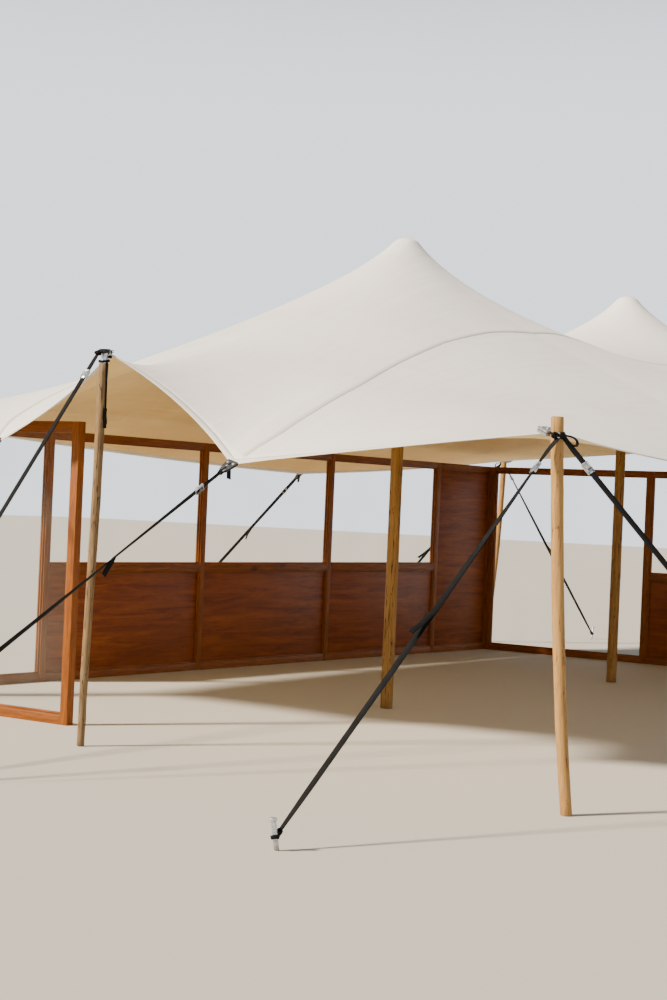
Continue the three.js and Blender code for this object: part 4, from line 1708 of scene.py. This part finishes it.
@dataclass
class PoleHead:
    """The webbing wound round a pole's head, its knot, and the plates on the cloth's tip.

    A corner pole's head is given the tip of cloth, a high pole's isn't. The marks are how far out, how high
    and how wide the webbing over a high pole's clamp is, in millimetres.
    """

    name: str
    pole: RoundPole
    ways: list[Vector]
    under: float
    tip: Vector | None = None
    bundle: Vector | None = None
    wrap_width: float = 14 * MM
    wrap_thick: float = 3 * MM
    wrap_rise: float = 18 * MM
    lump_size: tuple[float, float] = (15 * MM, 9 * MM)
    lump_band: tuple[float, float] = (26 * MM, 9 * MM)
    lump_apart: float = 19 * MM
    ring_size: tuple[float, float] = (7 * MM, 13 * MM)
    ring_wire: tuple[float, float] = (5 * MM, 5 * MM)
    spare_width: float = 20 * MM
    spare_thick: float = 5 * MM
    hang_length: float = 0.30
    hang_folds: int = 4
    over_marks: tuple[tuple[float, float, float], ...] = (
        (62, -22, 30),
        (50, 10, 34),
        (20, 19, 46),
        (-20, 21, 58),
        (-40, 10, 60),
        (-36, -30, 60),
    )

    def __post_init__(self) -> None:
        """Finds the level directions along and across the straps, and starts the piece."""
        self.piece = Piece(f"head_lashing_{self.name}")
        way = sum(self.ways, Vector())
        self.outwards = Vector((way.x, way.y, 0)).normalized()
        self.side = UP.cross(self.outwards)

    def make(self) -> None:
        """Builds the head's fittings."""
        z = self.pole.top.z - self.under
        if self.tip is not None:
            self.wrap(z - 4 * MM, self.wrap_rise)
            away = self.pole.radius(z) + 8 * MM
            knot = self.pole.axis(z - 8 * MM) + self.outwards * away - self.side * 7 * MM
            self.lump(knot - self.side * self.lump_apart)
            self.lump(knot + self.side * self.lump_apart)
            right, up = self.side * self.ring_size[0], UP * self.ring_size[1]
            ring = hoop(knot + self.outwards * 8 * MM, right, up, self.outwards, self.ring_wire, 20)
            self.piece.take(ring, ZINC)
            self.spare_loop(knot)
            self.corner_plates()
        else:
            self.ferrule()
            self.over()
        if self.bundle is not None:
            self.hanging(z)
        self.piece.done("webbing")

    def lump(self, knot: Vector) -> None:
        """Adds the knot of webbing that the straps start from.

        Args:
            knot: Its middle.
        """
        place = laid_along(knot, knot - self.side)
        right, up = X * self.lump_size[0], UP * self.lump_size[1]
        for k, (turn, scale) in enumerate(((0.5, 1.0), (-0.7, 0.9))):
            band = hoop(Vector(), right * scale, up, Vector((0, 1, 0.1)), self.lump_band)
            self.piece.take(band, STRAP_WEB, place @ spun(turn, "Y") @ spun(0.4 * k, "X"))

    def wrap(self, z: float, rise: float, count: int = 28) -> None:
        """Adds one turn of webbing, low at the knot and high behind the pole.

        Args:
            z: Its height at the knot.
            rise: How much higher it is behind.
            count: The number of points.
        """
        path, sides = [], []
        for k in range(count):
            angle = math.tau * k / count
            way = self.outwards * math.cos(angle) + self.side * math.sin(angle)
            height = min(z + rise * (1 - math.cos(angle)) / 2, self.pole.top.z - 10 * MM)
            path.append(self.pole.axis(height) + way * (self.pole.radius(height) * 1.04 + 2.5 * MM))
            sides.append(UP + way * 0.1)
        band = ribbon(path, sides, self.wrap_width, self.wrap_thick, closed=True)
        self.piece.take(band, STRAP_WEB)

    def spare_loop(self, knot: Vector, count: int = 19) -> None:
        """Adds the spare end of the lashing, folded into a loop that hangs beside the knot.

        Args:
            knot: The knot's middle.
            count: The number of points.
        """
        middle = knot + self.side * 64 * MM - UP * 24 * MM
        path, sides = [], []
        for k in range(count):
            t = k / (count - 1)
            swell, swing = math.sin(math.pi * t), math.sin(math.tau * t)
            p = knot + self.side * (20 + 78 * swell) * MM + UP * (18 * swing - 40 * swell) * MM
            path.append(p + self.outwards * (14 + 12 * swing) * MM)
            sides.append(self.outwards * 0.75 + (path[-1] - middle).normalized() * 0.65)
        self.piece.take(ribbon(path, sides, self.spare_width, self.spare_thick), STRAP_WEB)

    def corner_plates(self) -> None:
        """Adds the bare steel clamp on a blunt corner of the cloth, set to one side of the pole."""
        east, north = math.copysign(1, self.tip.x), math.copysign(1, self.tip.y)
        inwards = Vector((-0.45 * east, -north, 0)).normalized()
        aside = self.tip + Vector((0.58 * east, -0.81 * north, 0)) * 24 * MM
        plates = ClampPlates(78 * MM, 62 * MM, 78 * MM, 4 * MM, 12 * MM, BARE_STEEL)
        start = aside + inwards * 78 * MM + UP * 14 * MM
        plates.add(self.piece, laid_along(start, aside - UP * 16 * MM), ring=False)

    def over(self) -> None:
        """Adds the webbing that runs over the clamp on the pole and down behind its neck."""
        top = self.pole.top
        path = [top + (self.outwards * out + UP * rise) * MM for out, rise, _ in self.over_marks]
        widths = [width * MM for _, _, width in self.over_marks]
        self.piece.take(ribbon(path, -self.side, widths, 6 * MM), STRAP_WEB)
        self.wrap(top.z - self.pole.neck + 8 * MM, 12 * MM)

    def ferrule(self) -> None:
        """Adds the zinc neck that stands on top of the timber and carries the clamp."""
        low, rim = -self.pole.neck / MM, self.pole.head / MM - 2
        profile = [(0, low - 2), (rim, low - 2), (rim, low + 3), (21, low + 5), (20, -3), (24, -1), (0, 0)]
        self.piece.take(turned(profile), ZINC, Matrix.Translation(self.pole.top))

    def hanging(self, top: float) -> None:
        """Adds the long spare end that hangs down the pole and ends in a folded bundle.

        Args:
            top: Where it starts.
        """
        face = self.bundle.normalized()
        side = face.cross(UP)
        path = []
        for k in range(10):
            z = top - self.hang_length * k / 9
            path.append(self.pole.axis(z) + face * (self.pole.radius(z) + 5 * MM) - side * 10 * MM * k / 9)
        self.piece.take(ribbon(path, side, 13 * MM, 2.5 * MM), STRAP_WEB)
        low = path[-1] + UP * 20 * MM
        for k in range(self.hang_folds):
            start = low + face * (k * 4 - 5) * MM + side * (k % 2) * 4 * MM
            length = (120 - 12 * k) * MM
            fold = [start - UP * length * i / 5 + side * 3 * MM * math.sin(i) for i in range(6)]
            self.piece.take(ribbon(fold, side, (24 - 2 * k) * MM, 3.5 * MM), STRAP_WEB)


@dataclass
class Screen:
    """A timber screen drawn along +X from its start and turned into place."""

    name: str
    start: Vector
    turn: float
    posts: list[float]
    head: float
    panels: list[float]
    depth: float = 62 * MM
    post: float = 66 * MM
    beam: float = 62 * MM
    rail: float = 66 * MM
    set_back: float = 2 * MM
    panel: float = 18 * MM
    panel_edge: float = 1.5 * MM
    glass: float = 6 * MM
    bead: float = 13 * MM
    bead_gap: float = 1 * MM
    edge: float = 3 * MM
    lip: tuple[float, float] = (10 * MM, 16 * MM)
    lip_drop: float = 12 * MM

    def __post_init__(self) -> None:
        """Sets out the screen's frame and the grain of its level boards, and starts its piece."""
        self.piece = Piece(f"timber_screen_{self.name}")
        self.place = Matrix.Translation(self.start) @ spun(self.turn, "Z")
        self.level = Grain.Y if abs(self.turn) > 0.1 else Grain.X

    def make(self) -> None:
        """Builds the posts, beams, rails, panels and beads."""
        half, thin = self.post / 2, self.depth - self.set_back
        high = self.head - self.beam
        stain = STAIN[self.level]
        for x in self.posts:
            self.board((x - half, x + half), (0, self.head), self.depth, STAIN[Grain.Z])
        for first, second, height in zip(self.posts, self.posts[1:], self.panels):
            bay = (first + half, second - half)
            self.board(bay, (high, self.head), thin, stain)
            self.board(bay, (0, self.rail), thin, stain)
            sill = self.rail
            if height:
                panel = (self.rail, high if height >= high else height - self.post)
                self.board(bay, panel, self.panel, PLYWOOD[self.level], edge=self.panel_edge)
                self.beads(bay, panel, self.panel / 2)
                if height >= high:
                    continue
                self.board(bay, (height - self.post, height), thin, stain)
                self.drip(bay, height)
                sill = height
            self.beads(bay, (sill, high), self.glass / 2)
        self.piece.done("stained_timber", f"screen_{self.name}", sharp=30)

    def board(
        self, x: Bay, z: Bay, deep: float, finish: Finish, y: float = 0.0, edge: float | None = None
    ) -> None:
        """Adds one board.

        Args:
            x: The two places along the screen.
            z: The two heights.
            deep: Its depth.
            finish: What it is made of.
            y: How far its middle lies from the screen's.
            edge: The width of its bevel, or None for the timbers' own.
        """
        part = block((x[1] - x[0], deep, z[1] - z[0]), edge or min(self.edge, deep / 5))
        self.piece.take(part, finish, self.place @ moved(sum(x) / 2, y, sum(z) / 2))

    def beads(self, x: Bay, z: Bay, inner: float) -> None:
        """Adds the glazing beads round one opening, on both faces.

        Args:
            x: The two places along the screen.
            z: The two heights.
            inner: Half the thickness of what they hold.
        """
        b = self.bead
        for side in (-1, 1):
            y = side * (inner + self.bead_gap + b / 2)
            for level in ((z[0], z[0] + b), (z[1] - b, z[1])):
                self.board(x, level, b, STAIN[self.level], y)
            for upright in ((x[0], x[0] + b), (x[1] - b, x[1])):
                self.board(upright, (z[0] + b, z[1] - b), b, STAIN[Grain.Z], y)

    def drip(self, x: Bay, z: float) -> None:
        """Adds the sloped lip along a sill, on both faces.

        Args:
            x: The two places along the screen.
            z: The sill's height.
        """
        for side in (-1, 1):
            lip = block((x[1] - x[0] - 2 * MM, *self.lip), self.edge)
            at = moved(sum(x) / 2, side * (self.depth / 2 + 2 * MM), z - self.lip_drop)
            self.piece.take(lip, STAIN[self.level], self.place @ at @ spun(side * 0.2, "X"))


@dataclass
class Rigging:
    """The rim poles, stakes and straps, placed as the solids are."""

    tent: Tent
    poles: dict[str, RoundPole] = field(default_factory=dict)
    stakes: dict[str, Stake] = field(default_factory=dict)
    corners: tuple[tuple[str, int, int], ...] = (
        ("front_west", -1, -1),
        ("front_east", 1, -1),
        ("back_west", -1, 1),
        ("back_east", 1, 1),
    )
    side_reach: float = 1.85
    corner_reach_end: tuple[float, float] = (1.89, -0.43)
    corner_reach_side: tuple[float, float] = (-0.23, 1.58)

    def place_poles(self) -> None:
        """Sets out the seven rim poles. Each stands just outside the tip of cloth that it holds."""
        t = self.tent
        (bx, by), (tx, ty) = t.corner_base, t.corner_top
        for name, sx, sy in self.corners:
            height = (t.front_corner_z if name == "front_west" else t.corner_z) + t.corner_rise
            pale = name in ("front_west", "back_east")
            self.poles[f"corner_{name}"] = RoundPole(
                f"timber_corner_{name}",
                Vector((sx * bx, sy * by, 0)),
                Vector((sx * tx, sy * ty, height)),
                31 * MM,
                33 * MM,
                PEELED if pale else WEATHERED,
                "peeled_timber" if pale else "weathered_timber",
                uneven=0.03 if pale else 0.07,
                wander=4 * MM if pale else 9 * MM,
                bow=(0.012 * sx, -0.016 * sy),
            )
        end, side = t.end_edge + t.high_clear, t.side_edge + t.high_clear
        high = {
            "end_west": ((-end, t.end_tip_y / 2), (-end, t.end_tip_y + t.high_clear)),
            "end_east": ((end, 0.0), (end, 0.0)),
            "front": ((0.0, -side), (0.0, -side)),
        }
        for name, (base, top) in high.items():
            self.poles[name] = RoundPole(
                f"timber_{name}",
                Vector((*base, 0)),
                Vector((*top, t.high_z + t.high_rise)),
                23 * MM,
                30 * MM,
                WEATHERED,
                "weathered_timber",
                uneven=0.08,
                wander=9 * MM,
                knots=9,
                neck=64 * MM,
            )

    def place_stakes(self) -> None:
        """Sets out the twelve ground stakes."""
        t = self.tent
        bx, by = t.corner_base
        spots = [
            ("end_west", -t.end_stake_x, t.west_stake_y, Edge.WEST),
            ("end_east", t.end_stake_x, 0.0, Edge.EAST),
            ("front", 0.0, -t.side_edge - self.side_reach, Edge.FRONT),
            ("back", t.back_low_x, t.side_edge + self.side_reach, Edge.BACK),
        ]
        for name, sx, sy in self.corners:
            end, side = name.split("_")[1], name.split("_")[0]
            for ending, (out_x, out_y), edge in (
                ("end", self.corner_reach_end, end),
                ("side", self.corner_reach_side, side),
            ):
                place = (sx * (bx + out_x), sy * (by + out_y))
                spots.append((f"{name}_{ending}", *place, Edge[edge.upper()]))
        for name, x, y, edge in spots:
            self.stakes[name] = Stake(f"stake_{name}", Vector((x, y, 0)), edge.way * t.stake_lean)

    def on_stake(self, name: str, level: int) -> Vector:
        """Returns where a strap's loop sits on a stake."""
        return self.stakes[name].at(self.tent.loop_z + level * self.tent.loop_step)

    def corner_straps(self) -> Iterator[Strap]:
        """Lays out the two straps of each corner pole.

        Returns:
            The straps, one by one.
        """
        for corner, sx, sy in self.corners:
            pole = self.poles[f"corner_{corner}"]
            lead = pole.axis(pole.top.z - 0.090) + Vector((0.6 * sx, 0.8 * sy, 0)) * 0.045
            for i, way in enumerate(("end", "side")):
                name = f"{corner}_{way}"
                yield Strap(
                    name,
                    pole.axis(pole.top.z - 0.100 + 0.028 * i),
                    self.on_stake(name, 0),
                    self.stakes[name],
                    0.240 + 0.015 * i,
                    pole,
                    lead=lead,
                    rolls=((-0.4, 0.45, -0.5, -0.2), (0.9, 0.9, 0.9, 0.6))[i],
                    tail_roll=(-0.5, 0.9)[i],
                    tail_share=0.47 + 0.05 * i,
                )

    def high_straps(self) -> Iterator[Strap]:
        """Lays out the straps of the three high poles, which start from a clamp that lies on the pole.

        Returns:
            The straps, one by one.
        """
        t = self.tent
        rows = (
            ("end_west_pole", "end_west", 2, Edge.WEST),
            ("end_east_pole", "end_east", 0, Edge.EAST),
            ("front_pole", "front", 2, Edge.FRONT),
        )
        for name, pole, level, edge in rows:
            head = self.poles[pole]
            tip = head.top - edge.way * t.high_clear + UP * (t.plate_height / 2 + 0.3 * MM)
            far = tip + edge.way * (t.plate_length - t.plate_bite)
            clamp = laid_along(tip, far - UP * 12 * MM) @ moved(-t.plate_bite, 0, 0)
            start, end = far - edge.way * 10 * MM, self.on_stake(pole, level)
            yield Strap(name, start, end, self.stakes[pole], 0.215, head, clamp=clamp, tail_share=0.62)

    def low_straps(self) -> Iterator[Strap]:
        """Lays out the straps of the five low points, which start from a clamp on the cloth's edge.

        Returns:
            The straps, one by one.
        """
        t = self.tent
        rows = (
            ("end_west_front", Edge.WEST, 1, "end_west", 1),
            ("end_west_back", Edge.WEST, 3, "end_west", 0),
            ("front_west", Edge.FRONT, 1, "front", 1),
            ("front_east", Edge.FRONT, 3, "front", 0),
            ("back", Edge.BACK, 1, "back", 0),
        )
        for name, edge, index, stake, level in rows:
            start, end = t.tips(edge)[index], self.on_stake(stake, level)
            clamp = laid_along(start, end, edge.way + UP * t.plate_rise) @ moved(-t.plate_bite, 0, 0)
            yield Strap(
                name,
                start,
                end,
                self.stakes[stake],
                0.260,
                clamp=clamp,
                rolls=(0.9, 1.0, 0.6, 2.0),
                tail_roll=1.9,
                tail_share=0.325,
                tail_length=0.135,
                tail_slope=-0.33,
            )

    def make(self) -> None:
        """Builds the poles with their heads, the stakes and the straps."""
        self.place_poles()
        self.place_stakes()
        straps = [*self.corner_straps(), *self.high_straps(), *self.low_straps()]
        for name, pole in self.poles.items():
            pole.make(f"pole_{name}")
            self.head(name, pole, [s.end - s.start for s in straps if s.pole is pole])
        for made in (*self.stakes.values(), *straps):
            made.make()

    def head(self, name: str, pole: RoundPole, ways: list[Vector]) -> None:
        """Builds the fittings at one pole's head.

        Args:
            name: The pole's name.
            pole: The pole.
            ways: The directions of its straps.
        """
        if name.startswith("corner"):
            _, side, end = name.split("_")
            tip = self.tent.tips(Edge[side.upper()])[0 if end == "west" else -1]
            PoleHead(name, pole, ways, 90 * MM, tip).make()
        else:
            bundle = Vector((-0.25, -0.97, 0)) if name == "end_west" else None
            PoleHead(name, pole, ways, 60 * MM, bundle=bundle).make()


@dataclass
class Screens:
    """The three glazed screens that stand under the canopy, and their panes."""

    west: float = -4.700
    east: float = 4.250
    back: float = 2.800
    back_posts: tuple[float, ...] = (-2.800, -0.810, 1.160, 3.140)
    west_start: float = 0.690
    east_start: float = -2.500
    east_posts: tuple[float, ...] = (1.655, 3.310)
    west_head: float = 2.020
    head: float = 2.050
    low_panel: float = 0.960
    seat: float = 0.3 * MM

    def make(self, nodes: dict[str, bpy.types.Object]) -> None:
        """Builds the screens and dresses the panes.

        Args:
            nodes: The frame's solids, by name.
        """
        along = [x - self.west for x in (self.west, *self.back_posts, self.east)]
        to_back = self.back - (Screen.depth + Screen.post) / 2 - self.seat
        low, full = self.low_panel, self.head - Screen.beam
        quarter = math.pi / 2
        start = Vector((self.west, self.back, 0))
        Screen("back", start, 0.0, along, self.head, [0, low, low, low, full]).make()
        start = Vector((self.west, self.west_start, 0))
        Screen("end_west", start, quarter, [0, to_back - start.y], self.west_head, [0]).make()
        start = Vector((self.east, self.east_start, 0))
        posts = [0, *self.east_posts, to_back - start.y]
        Screen("end_east", start, quarter, posts, self.head, [low, low, 0]).make()
        for name in sorted(n for n in nodes if n.startswith("glass_")):
            nodes[name].data.materials.clear()
            nodes[name].data.materials.append(PANE.material())
            log.info("%s: dressed", name)


@dataclass
class Stage:
    """Pale floor, soft daylight and the camera at the photograph's place. The angles are in degrees."""

    floor_size: float = 160.0
    floor_drop: float = 1 * MM
    camera_at: tuple[float, float, float] = (-13.711, -7.811, 1.532)
    forward: tuple[float, float] = (0.81531, 0.57902)
    pitch: float = 0.187
    roll: float = 2.488
    lens: float = 66.35
    sensor: float = 36.0
    far_clip: float = 400.0
    sky_colour: str = "#E2E8EF"
    haze: float = 2.0
    zenith: float = 0.3
    haze_top: float = 0.2
    dome_from: float = 0.42
    sun: float = 10.5
    sun_colour: str = "#FFEFD9"
    sun_blur: float = 6.0
    sun_way: tuple[float, float, float] = (0.70, -0.42, -0.58)

    def make(self) -> None:
        """Builds the stage."""
        part = bmesh.new()
        bmesh.ops.create_grid(part, x_segments=8, y_segments=8, size=self.floor_size / 2)
        bmesh.ops.translate(part, vec=(0, 0, -self.floor_drop), verts=part.verts)
        mesh = bpy.data.meshes.new("studio_floor")
        part.to_mesh(mesh)
        part.free()
        mesh.materials.append(StudioFloor("pale_floor").material())
        floor = bpy.data.objects.new("studio_floor", mesh)
        bpy.context.scene.collection.objects.link(floor)
        self.light()
        self.camera()
        log.info("stage: floor, light and camera")

    def light(self) -> None:
        """Sets a hazy sky, bright round the horizon, and one warm sun."""
        world = bpy.data.worlds.new("hazy_sky")
        world.use_nodes = True
        tree = world.node_tree
        height = add_node(tree, "SeparateXYZ", {0: add_node(tree, "TexCoord", out="Generated")}, out=2)
        fade = {"Value": height, "From Min": self.haze_top, "From Max": self.dome_from}
        fade |= {"To Min": self.haze, "To Max": self.zenith}
        share = add_node(tree, "MapRange", fade, interpolation_type="SMOOTHSTEP")
        surface(tree.nodes["Background"], Color=self.sky_colour, Strength=share)
        bpy.context.scene.world = world
        sun = bpy.data.lights.new("soft_sun", "SUN")
        sun.energy = self.sun
        sun.angle = math.radians(self.sun_blur)
        sun.color = linear(self.sun_colour)[:3]
        lamp = bpy.data.objects.new("soft_sun", sun)
        lamp.rotation_euler = Vector(self.sun_way).to_track_quat("-Z", "Y").to_euler()
        bpy.context.scene.collection.objects.link(lamp)

    def camera(self) -> None:
        """Sets the camera: level forward direction, then its pitch and its roll."""
        data = bpy.data.cameras.new("photo_camera")
        data.sensor_width = self.sensor
        data.lens = self.lens
        data.clip_end = self.far_clip
        pitch = math.radians(self.pitch)
        level = Vector((*self.forward, 0)).normalized()
        forward = (level * math.cos(pitch) + UP * math.sin(pitch)).normalized()
        right = forward.cross(UP).normalized()
        turn = Matrix((right, right.cross(forward), -forward)).transposed().to_4x4()
        camera = bpy.data.objects.new("photo_camera", data)
        camera.matrix_world = Matrix.Translation(self.camera_at) @ turn @ spun(math.radians(self.roll), "Z")
        bpy.context.scene.collection.objects.link(camera)
        bpy.context.scene.camera = camera


def main(frame: dict[str, object]) -> None:
    """Builds the tent from the canopy down.
    """
    tent = Tent()
    Stage().make()
    for side, x in (("west", -tent.peak_x), ("east", tent.peak_x)):
        CentrePole(side, x).make()
    Canopy(tent).make()
    Rigging(tent).make()
    Screens().make(frame["nodes"])


if __name__ == "__main__":
    logging.basicConfig(level=logging.INFO, format="%(name)s: %(message)s")
    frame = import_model()
    main(frame)
